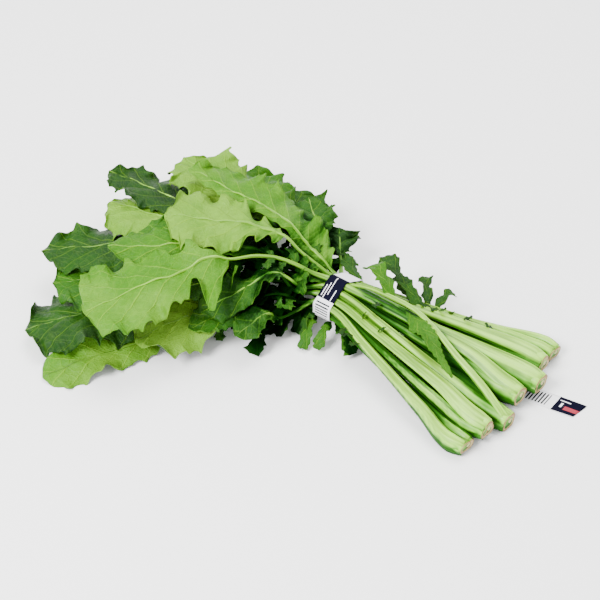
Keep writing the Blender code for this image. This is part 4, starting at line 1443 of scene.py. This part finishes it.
def stalk_tube(one, tone, low, rng):
    """Rings of points of a stalk, their flat map and how white each is, with painted shade in its grooves
    and painted light on its ridges.
    """
    leaf, fine_middle = one["leaf"], one["fine"].shape[1] // 2
    crown_x, crown_y, crown_z, _ = CROWNS[leaf[0]]
    socket = crown_socket(leaf[0], one["row"])
    root = np.array([crown_x, crown_y, crown_z]) + END_PULL * np.array([0, *socket]) - (END_BACK, 0, 0)
    coarse_middle = one["grid"][: one["stations"], MIDRIB]
    rib = one["fine"][RIB_ROWS, fine_middle].copy()
    if one["winged"]:
        coarse_middle = coarse_middle[coarse_middle[:, 0] > rib[0, 0] + WING_GAP]
    line = np.concatenate([root[None], one["stem"], coarse_middle, rib])
    blade_share = np.linspace(0, 1, len(rib))
    fine_rib = FINE_RIB[1] + (FINE_RIB[0] - FINE_RIB[1]) * (1 - blade_share) ** RIB_FADE
    side = one["side_radii"][: len(coarse_middle)]
    radii = np.concatenate([[END_R], one["stem_radii"], side, fine_rib])
    line[len(line) - len(rib) :, 2] += fine_rib * RIB_RISES[0 if tone > PALE_FROM else 1]
    places, wanted, centre, radius = resampled(line, radii)
    tie_place = places[len(one["stem"])]
    foot = places[len(line) - len(rib)]
    radius = radius * (1 - WAIST * np.sin(math.pi * np.clip(wanted / tie_place, 0, 1)) ** 2)
    beyond = smoothstep(wanted - tie_place, 0.0, THIN_LENGTH)
    thin = (LOW_PETIOLE_THIN if low else PETIOLE_THIN) * beyond
    radius = radius * np.where(wanted < foot + PAST_FOOT, 1 - thin, 1)
    offset, groove = grooved(centre, radius, rng)
    outward = np.array([0, *unit(socket)])
    beside = np.array([0, -outward[2], outward[1]])
    share = (np.clip(1 - wanted / tie_place, 0, 1) ** HUG_POWER)[:, None, None]
    offset = offset + BASE_BROAD * share * (offset @ beside)[..., None] * beside
    offset = offset - BASE_THIN * share * (offset @ outward)[..., None] * outward
    rings = centre[:, None] + offset
    rings[..., 2] = np.maximum(rings[..., 2], LOWEST_RING)
    rings[:, -1] = rings[:, 0]
    whiteness = np.interp(wanted, (0, tie_place, foot, places[-1]), STALK_WHITENESS)
    whiteness = whiteness - (LOW_GREENER if low else 0) * beyond
    # the tone gets painted shade in the grooves and painted light on the ridges
    return rings, tube_map(wanted, rng), whiteness[:, None] + PAINTED_GROOVE_SHADE * (groove - 1)


stalks = {plant: [] for plant in CROWNS}
for index, (one, tone) in enumerate(zip(grown, TONES)):
    rng = np.random.default_rng(STALK_TUBE_SEED + index)
    rings, flat, whiteness = stalk_tube(one, tone, index < LOW_LEAVES, rng)
    made = grid_object(f"stalk_{index}", rings, flat, whiteness, [stalk], closed=True)
    stalks[one["leaf"][0]].append(made)
print(sum(len(parts) for parts in stalks.values()), "stalks")

# %% [markdown]
# Small lobes grow on the stalks too. The larger ones, leaflets, stand beside
# the tie and hang into the dark middle. Little dark tufts stand on the stalks
# on the crowns' side. Each is a short fine sheet between a foot and a tip.

# %% Where leaflets and tufts stand
# plant, foot, tip, half width and tone. The first is a small whole leaf, and
# the others are ragged
LEAFLETS = (
    ("E", (0.074, 0.004, 0.050), (0.149, -0.033, 0.036), 0.0110, 0.50),
    ("E", (0.058, 0.006, 0.055), (0.024, 0.020, 0.067), 0.0140, 0.60),
    ("B", (0.070, 0.030, 0.035), (0.019, 0.047, 0.056), 0.0120, 0.12),
    ("C", (0.062, 0.022, 0.034), (0.098, 0.028, 0.012), 0.0110, 0.05),
    ("C", (0.080, 0.022, 0.030), (0.122, 0.040, 0.008), 0.0100, 0.05),
    ("B", (0.076, 0.033, 0.034), (0.038, 0.038, 0.047), 0.0120, 0.25),
    ("A", (0.075, 0.045, 0.028), (0.056, 0.062, 0.040), 0.0090, 0.10),
    ("A", (0.080, 0.050, 0.026), (0.086, 0.066, 0.033), 0.0080, 0.12),
    ("G", (0.014, -0.022, 0.020), (0.044, -0.037, 0.007), 0.0120, 0.45),
    ("G", (0.008, -0.022, 0.018), (0.012, -0.050, 0.005), 0.0085, 0.42),
    ("G", (-0.012, -0.018, 0.016), (0.000, -0.056, 0.004), 0.0080, 0.42),
    ("G", (-0.043, -0.056, 0.017), (-0.031, -0.090, 0.004), 0.0130, 0.45),
    ("F", (-0.030, -0.030, 0.024), (-0.034, -0.058, 0.020), 0.0105, 0.50),
    ("E", (-0.020, -0.010, 0.036), (-0.038, -0.036, 0.030), 0.0110, 0.30),
    ("E", (-0.055, -0.020, 0.046), (-0.060, -0.044, 0.034), 0.0120, 0.50),
    ("D", (-0.085, -0.040, 0.056), (-0.078, -0.068, 0.030), 0.0100, 0.55),
    ("F", (-0.026, -0.028, 0.030), (-0.062, -0.044, 0.034), 0.0125, 0.42),
    ("F", (-0.040, -0.036, 0.034), (-0.052, -0.060, 0.036), 0.0090, 0.50),
    ("D", (-0.067, -0.066, 0.078), (-0.073, -0.071, 0.050), 0.0065, 0.58),
    ("E", (-0.046, -0.050, 0.036), (-0.063, -0.068, 0.034), 0.0095, 0.48),
    ("F", (-0.060, -0.052, 0.030), (-0.082, -0.070, 0.030), 0.0100, 0.38),
    ("D", (-0.014, -0.006, 0.044), (-0.034, -0.022, 0.040), 0.0090, 0.30),
    ("C", (-0.020, 0.004, 0.046), (-0.042, -0.002, 0.050), 0.0085, 0.45),
    ("F", (-0.072, -0.036, 0.028), (-0.104, -0.008, 0.030), 0.0130, 0.12),
    ("A", (-0.034, 0.036, 0.030), (-0.064, 0.066, 0.026), 0.0120, 0.15),
    ("F", (-0.050, -0.046, 0.020), (-0.070, -0.076, 0.008), 0.0120, 0.20),
    ("E", (-0.030, -0.024, 0.020), (-0.044, -0.066, 0.010), 0.0110, 0.15),
    ("F", (-0.022, -0.022, 0.022), (-0.031, -0.058, 0.006), 0.0125, 0.22),
    ("F", (-0.012, -0.016, 0.024), (-0.015, -0.046, 0.008), 0.0110, 0.10),
    ("F", (-0.034, -0.030, 0.020), (-0.054, -0.060, 0.006), 0.0120, 0.10),
)
# plant, share of the stem from the tie and how far to the side, of small dark tufts
TUFTS = (
    ("A", 0.34, 0.2), ("A", 0.38, -0.3), ("A", 0.45, -0.6), ("A", 0.49, -0.3), ("A", 0.57, -0.6),
    ("A", 0.62, -0.5), ("A", 0.68, -0.6), ("A", 0.74, -0.5), ("B", 0.44, 0.5), ("B", 0.58, 0.4),
    ("G", 0.12, -0.9), ("G", 0.18, -0.9), ("G", 0.24, -0.9), ("F", 0.28, 0.0), ("F", 0.17, 0.2),
    ("D", 0.20, -0.5),
)
print(len(LEAFLETS), "leaflets and", len(TUFTS), "tufts")

# %% [markdown]
# The small sheets have teeth and scallops of their own. Some leaflets start
# at the nearest point of their plant's stalks, and a tuft starts on the skin
# of its plant's topmost stalk.

# %% Leaflets and tufts
# outlines: shares of the length, and the width there
SIDE_LEAF = ((0.0, 0.12, 0.30, 0.60, 0.85, 1.0), (0.12, 0.80, 1.0, 0.72, 0.40, 0.08))
RAGGED = ((0.0, 0.15, 0.35, 0.55, 0.80, 0.94, 1.0), (0.15, 0.55, 0.75, 0.50, 1.0, 0.80, 0.35))
NEAREST_STALK = "AB"
TUFT_LENGTHS = (0.008, 0.014)
TUFT_WIDTH = 0.42
TUFT_TONE = 0.08
LOWEST_TIP = 0.002
# a tuft's way from its foot: least and most, along, off its side, and up
TUFT_WAYS = ((-0.9, 0.9), (0.0, 0.5), (0.3, 0.8))
# bow, rows and columns
LEAFLET_SHAPE = (0.006, 56, 17)
TUFT_SHAPE = (0.001, 14, 7)
LEAFLET_SEED = 900
TUFT_SEED = 88
# the lobes' own teeth: their pitch, and how deep teeth and scallops bite
LEAFLET_TOOTH = 0.0065
LEAFLET_BITE = 0.22
LEAFLET_SCALLOP = 0.25
SCALLOP_COUNTS = (2.0, 3.4)
LEAFLET_LEAN = 0.25
LEAFLET_WAVE = 0.40
LEAFLET_TURNS = (1.2, 2.4)


def nearest_stalk(plant, point):
    """The point on a plant's stalks that is nearest to a point."""
    shares = np.linspace(0, 1, 40)[:, None]
    stems = [one["stem"] for one in grown if one["leaf"][0] == plant]
    path = np.concatenate([
        stem[k] * (1 - shares) + stem[k + 1] * shares for stem in stems for k in range(len(stem) - 1)
    ])
    return path[np.argmin(np.linalg.norm(path - point, axis=1))]


def small_lobe(plant, name, foot, tip, half_width, tone, rng, lobe_shape, widths_at=RAGGED):
    """Gives a plant one more little sheet, from its foot to its tip."""
    bow, rows, columns = lobe_shape
    shares = np.linspace(0, 1, rows)
    line = foot + (tip - foot) * shares[:, None]
    line[:, 2] += bow * np.sin(math.pi * shares)
    length = np.linalg.norm(tip - foot)
    near = unit(level_near(line) + 1e-6)
    across = np.linspace(-1, 1, columns)
    points = np.repeat(line[:, None], columns, axis=1)
    for side in (1, -1):
        half = across * side > 0
        widths = softened(half_width * np.interp(shares, *widths_at))
        teeth = np.mod(shares * length / LEAFLET_TOOTH + rng.uniform(0, 1), 1)
        scallops = np.sin(math.pi * (shares * rng.uniform(*SCALLOP_COUNTS) + rng.uniform(0, 1))) ** 2
        depth = LEAFLET_SCALLOP * scallops + LEAFLET_BITE * tooth(teeth)
        widths = widths * (1 - depth)
        reach = widths[:, None] * np.abs(across[half])[None, :]
        points[:, half] += side * near[:, None] * reach[..., None]
        points[:, half] += (tip - foot) / length * (LEAFLET_LEAN * reach)[..., None]
        turn = FULL_TURN * shares * rng.uniform(*LEAFLET_TURNS) + rng.uniform(*ANY_TURN)
        points[:, half, 2] += LEAFLET_WAVE * reach * np.sin(turn)[:, None]
    points[..., 2] = np.maximum(points[..., 2], SHEET_THICKNESS)
    flat = map_of(across[None, :] * half_width * MAP_SCALE, shares[:, None] * length * MAP_SCALE)
    toned = np.full(points.shape[:2], tone)
    blades[plant].append(grid_object(name, points, flat, toned, [leaf_up, leaf_down]))


for number, (plant, foot, tip, half_width, tone) in enumerate(LEAFLETS):
    rng = np.random.default_rng(LEAFLET_SEED + number)
    foot, tip = np.array(foot), np.array(tip)
    if plant in NEAREST_STALK:
        foot = nearest_stalk(plant, foot)
    kind = RAGGED if number else SIDE_LEAF
    small_lobe(plant, f"leaflet_{number}", foot, tip, half_width, tone, rng, LEAFLET_SHAPE, kind)

rng = np.random.default_rng(TUFT_SEED)
for number, (plant, share, side) in enumerate(TUFTS):
    top = max((one for one in grown if one["leaf"][0] == plant), key=lambda one: one["stem"][2, 2])
    foot = points_at(share, STEM_SHARES[::-1], top["stem"][::-1])
    radius = float(stem_radius(share))
    foot += np.array([0, side * radius, math.sqrt(1 - side * side) * radius])
    length = rng.uniform(*TUFT_LENGTHS)
    ahead, off, up = [rng.uniform(*limits) for limits in TUFT_WAYS]
    tip = foot + length * np.array([ahead, side - off, up])
    tip[2] = max(tip[2], LOWEST_TIP)
    half_width = length * TUFT_WIDTH
    small_lobe(plant, f"tuft_{number}", foot, tip, half_width, TUFT_TONE, rng, TUFT_SHAPE)
print("blades and sheets so far:", sum(len(parts) for parts in blades.values()))

# %% [markdown]
# One leaf lies across the others, on the crowns' side of the tie. Its stalk
# comes from its crown over its neighbours to the tie.

# %% The stalk across the others
SIDE_STALK = (
    (0.203, -0.028, 0.014), (0.172, -0.020, 0.030), (0.137, -0.0104, 0.041), (0.110, -0.001, 0.048),
    (0.083, 0.005, 0.0535), (0.0505, 0.004, 0.056), (0.031, 0.004, 0.054), (0.010, 0.004, 0.046),
)
SIDE_STALK_RADII = (0.0042, 0.0038, 0.0030, 0.0026, 0.0023, 0.0021, 0.0020, 0.0018)
SIDE_STALK_WHITENESS = (0.85, 0.55)
SIDE_STALK_SEED = 77

_, wanted, centre, radius = resampled(np.array(SIDE_STALK), SIDE_STALK_RADII)
rng = np.random.default_rng(SIDE_STALK_SEED)
offset, groove = grooved(centre, radius, rng)
rings = centre[:, None] + offset
rings[:, -1] = rings[:, 0]
# painted shade in the grooves and painted light on the ridges, as on the other stalks
whiteness = np.linspace(*SIDE_STALK_WHITENESS, len(wanted))[:, None] + PAINTED_GROOVE_SHADE * (groove - 1)
side_flat = tube_map(wanted, rng)
stalks["E"].append(grid_object("side_stalk", rings, side_flat, whiteness, [stalk], closed=True))
print("the stalk across the others has", len(wanted), "rings")

# %% [markdown]
# Many little lobes hang along the stalks between the tie and the blades,
# where they fill the shade with ragged green. Their dark tones are partly
# their own dark upper side and partly painted shade.

# %% Small lobes along the stalks
LOBE_STEP = 0.017
LOBE_START = 0.022
LOBE_END = 0.004
LOBE_CHANCE = 0.62
LOBE_LENGTHS = (0.012, 0.026)
# a lobe's way from its foot: to the side, and least and most ahead and up
LOBE_ASIDE = 0.8
LOBE_AHEAD = (0.1, 0.7)
LOBE_UP = (-0.9, 0.25)
# the lobes' tones are kept dark: partly a leaf's dark upper side, partly painted shade of the bunch's
# middle
LOBE_TONES = (0.15, 0.5)
LOBE_HALF_WIDTHS = (0.28, 0.42)
LOBE_SHAPE = (0.002, 22, 9)
LOBE_SEED = 41

rng = np.random.default_rng(LOBE_SEED)
count = 0
for one in grown:
    plant, reach, _, _, _, blade = one["leaf"][:6]
    bare = reach - blade
    path = one["grid"][: one["stations"] + 1, MIDRIB]
    near = level_near(path)
    for distance in np.arange(LOBE_START, bare - LOBE_END, LOBE_STEP):
        for side in (1, -1):
            if rng.random() > LOBE_CHANCE:
                continue
            places = one["rows"][: one["stations"] + 1]
            foot = points_at(distance, places, path)
            sideways = side * points_at(distance, places, near)
            ahead = unit(path[-1] - path[0])
            length = rng.uniform(*LOBE_LENGTHS)
            tip = foot + length * (LOBE_ASIDE * sideways + rng.uniform(*LOBE_AHEAD) * ahead)
            tip[2] = max(foot[2] + length * rng.uniform(*LOBE_UP), LOWEST_TIP)
            tone = rng.uniform(*LOBE_TONES)
            half_width = length * rng.uniform(*LOBE_HALF_WIDTHS)
            small_lobe(plant, f"lobe_{count}", foot, tip, half_width, tone, rng, LOBE_SHAPE)
            count += 1
print(count, "small lobes")

# %% [markdown]
# A crown is where the stalks meet the cut root. Its outline is that of the
# stalks' ends round a core, so it has a crease between each two of them. Its
# skin is drawn like the stalks', with painted shade in each crease, and its
# cut face is a shallow, uneven dome.

# %% Crowns
CORE_R = 0.0062
CROWN_LENGTH = 0.026
END_BROAD = 1.12
CROWN_SHAPE = ((0.0, 0.55), (0.25, 0.86), (0.6, 0.98), (0.88, 1.0), (1.0, 0.90))
CROWN_WHITENESS = (0.70, 0.95)
# size, height and tone of each ring of the cut face
CUT_RINGS = (
    (0.91, -0.0001, 0.50), (0.84, 0.0005, 0.62), (0.66, 0.0002, 0.80),
    (0.46, -0.0005, 0.92), (0.28, -0.0002, 1.0), (0.10, 0.0003, 1.0),
)
CROWN_SIDES = 72
CROWN_ROWS = 16
CROWN_SEED = 60
# painted shade in the creases between the stalks' ends, and a little painted light where they bulge
PAINTED_CREASE_SHADE = 1.5
# size and number of the waves in a crown's outline
CROWN_WAVES = ((0.02, 2), (0.012, 11))
CUT_TILT = 0.0008
LOWEST_CROWN = 0.0002


def crown_outline(plant, turns, rng):
    """How far out the stalks' ends reach at each turn round a crown."""
    count = CROWNS[plant][3]
    reach = np.full(len(turns), CORE_R)
    for row in range(count):
        y, z = crown_socket(plant, row) * END_PULL
        distance, turn = math.hypot(y, z), math.atan2(z, y)
        radius = END_R * END_BROAD
        beside = distance * np.sin(turns - turn)
        along = distance * np.cos(turns - turn) + np.sqrt(np.clip(radius**2 - beside**2, 0, None))
        reach = np.maximum(reach, np.where(np.abs(beside) < radius, along, 0))
    for size, waves in CROWN_WAVES:
        reach = reach * (1 + size * np.sin(waves * turns + rng.uniform(*ANY_TURN)))
    return reach


def crown_rings(plant, turns, reach, stations):
    """Rings round a crown at stations of (how far behind the cut, size)."""
    x, y, z, _ = CROWNS[plant]
    rings = []
    for back, size in stations:
        tilt = CUT_TILT * np.sin(turns + 1.0) * (back > -0.001)
        radius = reach * size
        ring = np.column_stack([x + back + tilt, y + radius * np.cos(turns), z + radius * np.sin(turns)])
        ring[:, 2] = np.maximum(ring[:, 2], LOWEST_CROWN)
        ring[-1] = ring[0]
        rings.append(ring)
    return np.array(rings)


crowns = {}
turns = np.linspace(0, FULL_TURN, CROWN_SIDES + 1)
for number, plant in enumerate(CROWNS):
    rng = np.random.default_rng(CROWN_SEED + number)
    reach = crown_outline(plant, turns, rng)
    shares = np.linspace(0, 1, CROWN_ROWS)
    sizes = np.interp(shares, *zip(*CROWN_SHAPE))
    rings = crown_rings(plant, turns, reach, zip((shares - 1) * CROWN_LENGTH, sizes))
    flat = map_of(turns[None, :] / 2 + rng.uniform(0, 9), shares[:, None] * 0.3)
    # painted shade: the skin is darker in the creases and a little paler where the ends bulge
    creases = reach / reach.max() - 0.9
    toned = np.linspace(*CROWN_WHITENESS, len(shares))[:, None] + creases[None, :] * PAINTED_CREASE_SHADE
    stalks[plant].append(grid_object(f"skin_{plant}", rings, flat, toned, [stalk], closed=True))
    rings = crown_rings(plant, turns, reach, [(rise, size) for size, rise, _ in CUT_RINGS])
    toned = np.repeat(np.array(CUT_RINGS)[:, 2:], len(turns), axis=1)
    flat = map_of(turns[None, :], toned)
    crowns[plant] = grid_object(f"crown_{plant}", rings, flat, toned, [crown_skin], closed=True)
print(len(crowns), "crowns")

# %% [markdown]
# The tie is one strip of paper. Its band lies taut round the stalks, with a
# slight ripple. Its print is laid out by shares of its length.

# %% The tie's band
BAND_SIDES = 120
BAND_ROWS = 9
BAND_RIPPLE = 0.010
BAND_WAVES = 9
PANEL_SHARES = (0.185, 0.375)
BAR_SHARES = (0.400, 0.505)
# place across, width, and the start and end along, of the lines in the panel
LINE_SHARES = (
    (0.13, 0.045, 0.28, 0.36),
    (0.27, 0.045, 0.26, 0.37),
    (0.42, 0.040, 0.21, 0.34),
    (0.72, 0.045, 0.29, 0.37),
)

ring = band_ring(BAND_SIDES, TIE_THICKNESS / 2)
ring = np.concatenate([ring, ring[:1]])
arc = lengths_along(ring)
even = np.linspace(0, arc[-1], BAND_SIDES + 1)
ring = points_at(even, arc, ring)
across = np.linspace(0, 1, BAND_ROWS)
band_points = np.empty((BAND_ROWS, BAND_SIDES + 1, 3))
band_points[..., 0] = (across[:, None] - 0.5) * TIE_WIDTH
band_points[..., 1:] = ring[None]
middle_of_band = ring[:-1].mean(0)
waves = np.sin(BAND_WAVES * np.linspace(0, FULL_TURN, BAND_SIDES + 1))
ripple = 1 + BAND_RIPPLE * waves[None, :] * (across[:, None] - 0.5)
band_points[..., 1:] = middle_of_band + (band_points[..., 1:] - middle_of_band) * ripple[..., None]
band_flat = map_of(even[None, :] * MAP_SCALE, across[:, None])
band_plain = np.zeros(band_points.shape[:2])
arc_length = arc[-1] * MAP_SCALE
panel = [share * arc_length for share in PANEL_SHARES]
bars = [share * arc_length for share in BAR_SHARES]
band_lines = [
    (place, width, start * arc_length, stop * arc_length) for place, width, start, stop in LINE_SHARES
]
band_paper = tie_finish("tie_band", panel, bars, band_lines)
tie_band = grid_object("tie_band", band_points, band_flat, band_plain, [band_paper])
print("the tie's band is", round(arc[-1] * 1000), "mm round")

# %% [markdown]
# Underneath, the strip's two ends are twisted together, and one end runs on
# along the table as a loose tail, cut off at a slant.

# %% The tie's twist and tail
TWIST_START = 0.004
TWIST_END = 0.040
TWIST_TURNS = 1.0
TWIST_WIDTH = 0.0046
TWIST_Z = 0.0031
TWIST_SINKS = (0.15, 0.45)
TWIST_ROLLS = (0.20, 1.0)
TAIL_Z = 0.0005
TAIL_START = 0.058
TAIL_END = (0.247, 0.031)
TAIL_SLANT = 0.0032
PAPER_THICKNESS = 0.0005
TAIL_CURL = 0.0008
CURL_PLACES = (0.21, 0.246)
STRIP_STEPS = 60
BAND_GAP = 0.0002
SLANT_LENGTH = 0.03
TAIL_PANEL = (2.24, 2.60)
TAIL_BARS = (1.95, 2.17)
TAIL_LINES = ((0.76, 0.05, 2.26, 2.36), (0.34, 0.30, 2.285, 2.305))
TAIL_RED = ((2.33, 2.50), (0.22, 0.50))


def strip_stations():
    """Where the strip runs under the bunch: place, height, half width and roll."""
    bottom = ring[:, 1].min() - BAND_GAP
    twisted = np.linspace(TWIST_START, TAIL_START, STRIP_STEPS)
    x = np.concatenate([twisted, np.linspace(TAIL_START, TAIL_END[0], STRIP_STEPS)[1:]])
    share = np.clip((x - TWIST_START) / (TWIST_END - TWIST_START), 0, 1)
    height = TWIST_Z + (bottom - TWIST_Z) * (1 - smoothstep(share, *TWIST_SINKS))
    height = height + (TAIL_Z - TWIST_Z) * smoothstep(x, TWIST_END, TAIL_START)
    half = (TWIST_WIDTH + (TIE_WIDTH - TWIST_WIDTH) * smoothstep(x, TWIST_END, TAIL_START)) / 2
    roll = FULL_TURN * TWIST_TURNS * smoothstep(share, *TWIST_ROLLS)
    return x, height, half, roll


x, height, half, roll = strip_stations()
slope = math.atan2(TAIL_END[1], TAIL_END[0] - TWIST_END)
y = TAIL_END[1] * np.clip(x - TWIST_END, 0, None) / (TAIL_END[0] - TWIST_END)
strip_across = np.linspace(-1, 1, BAND_ROWS)
beside = half[:, None] * strip_across[None, :]
level = beside * np.cos(roll)[:, None]
rise = beside * np.sin(roll)[:, None]
cut = smoothstep(x, TAIL_END[0] - SLANT_LENGTH, TAIL_END[0])
slant = strip_across[None, :] * TAIL_SLANT * cut[:, None]
strip_points = np.stack([
    x[:, None] - level * math.sin(slope) + slant,
    y[:, None] + level * math.cos(slope),
    height[:, None] + rise,
], axis=-1)
strip_points[..., 2] += TAIL_CURL * smoothstep(x, *CURL_PLACES)[:, None] * strip_across[None, :] ** 2
strip_points[..., 2] = np.maximum(strip_points[..., 2], PAPER_THICKNESS / 2)
strip_flat = map_of(strip_points[..., 0] * MAP_SCALE, (strip_across[None, :] + 1) / 2)
tail_paper = tie_finish("tie_tail", TAIL_PANEL, TAIL_BARS, TAIL_LINES, TAIL_RED)
tie_tail = grid_object("tie_tail", strip_points, strip_flat, np.zeros(strip_points.shape[:2]), [tail_paper])
print("the tail reaches", round(TAIL_END[0] * 1000), "mm past the band")

# %% [markdown]
# What lies deep between the stalks and under the leaves gets little light and
# looks nearly black in a bunch. A map of the bunch's top is blurred twice, a
# little and a lot. A point far under either has a high shade, which the
# finishes turn into darker green. Far from the tie the leaves lie loose, and
# all light gets in. Leaflets and tufts are too small to shade what is below.

# %% Deep places
SHADE_CELL = 0.003
SHADE_COUNTS = (220, 180)
# rounds of blur, the depth at which the shade is full, and how dark it is then
BLURS = ((2, 0.0048, 0.80), (7, 0.040, 0.60))
OPEN_FROM = (0.080, 0.130)
NOT_DEEP = 0.0012


def blurred(top, rounds):
    """A map of heights after so many rounds of averaging each cell with its neighbours."""
    for _ in range(rounds):
        top = (four_around(top) + top) / 5
    return top


def vertex_places(made):
    places = np.empty(len(made.data.vertices) * 3)
    made.data.vertices.foreach_get("co", places)
    return places.reshape(-1, 3)


grown_parts = [made for group in (blades, stalks) for parts in group.values() for made in parts]
whole = Pile(SHADE_CELL, SHADE_COUNTS)
for made in grown_parts:
    if not made.name.startswith(("leaflet", "tuft")):
        whole.add(vertex_places(made))
maps = [(blurred(whole.top, rounds), depth, most) for rounds, depth, most in BLURS]
for made in grown_parts:
    places = vertex_places(made)
    i, j = whole.cells(places).T
    from_tie = np.hypot(places[:, 0], places[:, 1])
    open_air = smoothstep(from_tie, *OPEN_FROM) * (places[:, 0] < 0)
    shade = np.zeros(len(places))
    for top, depth, most in maps:
        shade += (1 - open_air) * most * np.clip((top[i, j] - places[:, 2] - NOT_DEEP) / depth, 0, 1)
    made.data.attributes.new("shade", "FLOAT", "POINT").data.foreach_set("value", np.clip(shade, 0, 1))
print("shaded", len(grown_parts), "parts")

# %% [markdown]
# Thin sheets get a real thickness last: a Solidify modifier gives each blade
# and the tie a second face. A blade's second face takes the second material,
# so a leaf is pale on one side and dark on the other. Then every piece rides
# on the frame's one body and stands for its solid.

# %% Thickness, places and names
def thicken(piece, thickness, second_material=0):
    step = piece.modifiers.new("thickness", "SOLIDIFY")
    step.thickness = thickness
    step.offset = 0
    step.material_offset = second_material


def place(piece, slot, node):
    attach(piece, "root")
    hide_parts(node)


for plant in CROWNS:
    node = f"plant_{plant}"
    green = joined(f"{node}_blades", blades[plant])
    thicken(green, SHEET_THICKNESS, 1)
    place(green, "leaf", node)
    place(joined(f"{node}_stalks", stalks[plant]), "stalk", node)
    place(joined(f"{node}_crown", [crowns[plant]]), "crown_cut", node)
for piece in (tie_band, tie_tail):
    piece.data.transform(Matrix.Translation(bench))
    thicken(piece, PAPER_THICKNESS)
    place(piece, "tie_paper", "tie")

# %% [markdown]
# The last cell gathers the size of the frame and of the dressed bunch, and
# prints the dressed size.

# %% Sizes and the end
bpy.context.view_layer.update()
shown_low, shown_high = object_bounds()
sizes = {
    "cad": [list(cad_low), list(cad_high)],
    "visual": [list(shown_low), list(shown_high)],
}
print("dressed size in mm:", [round((high - low) * 1000) for low, high in zip(shown_low, shown_high)])
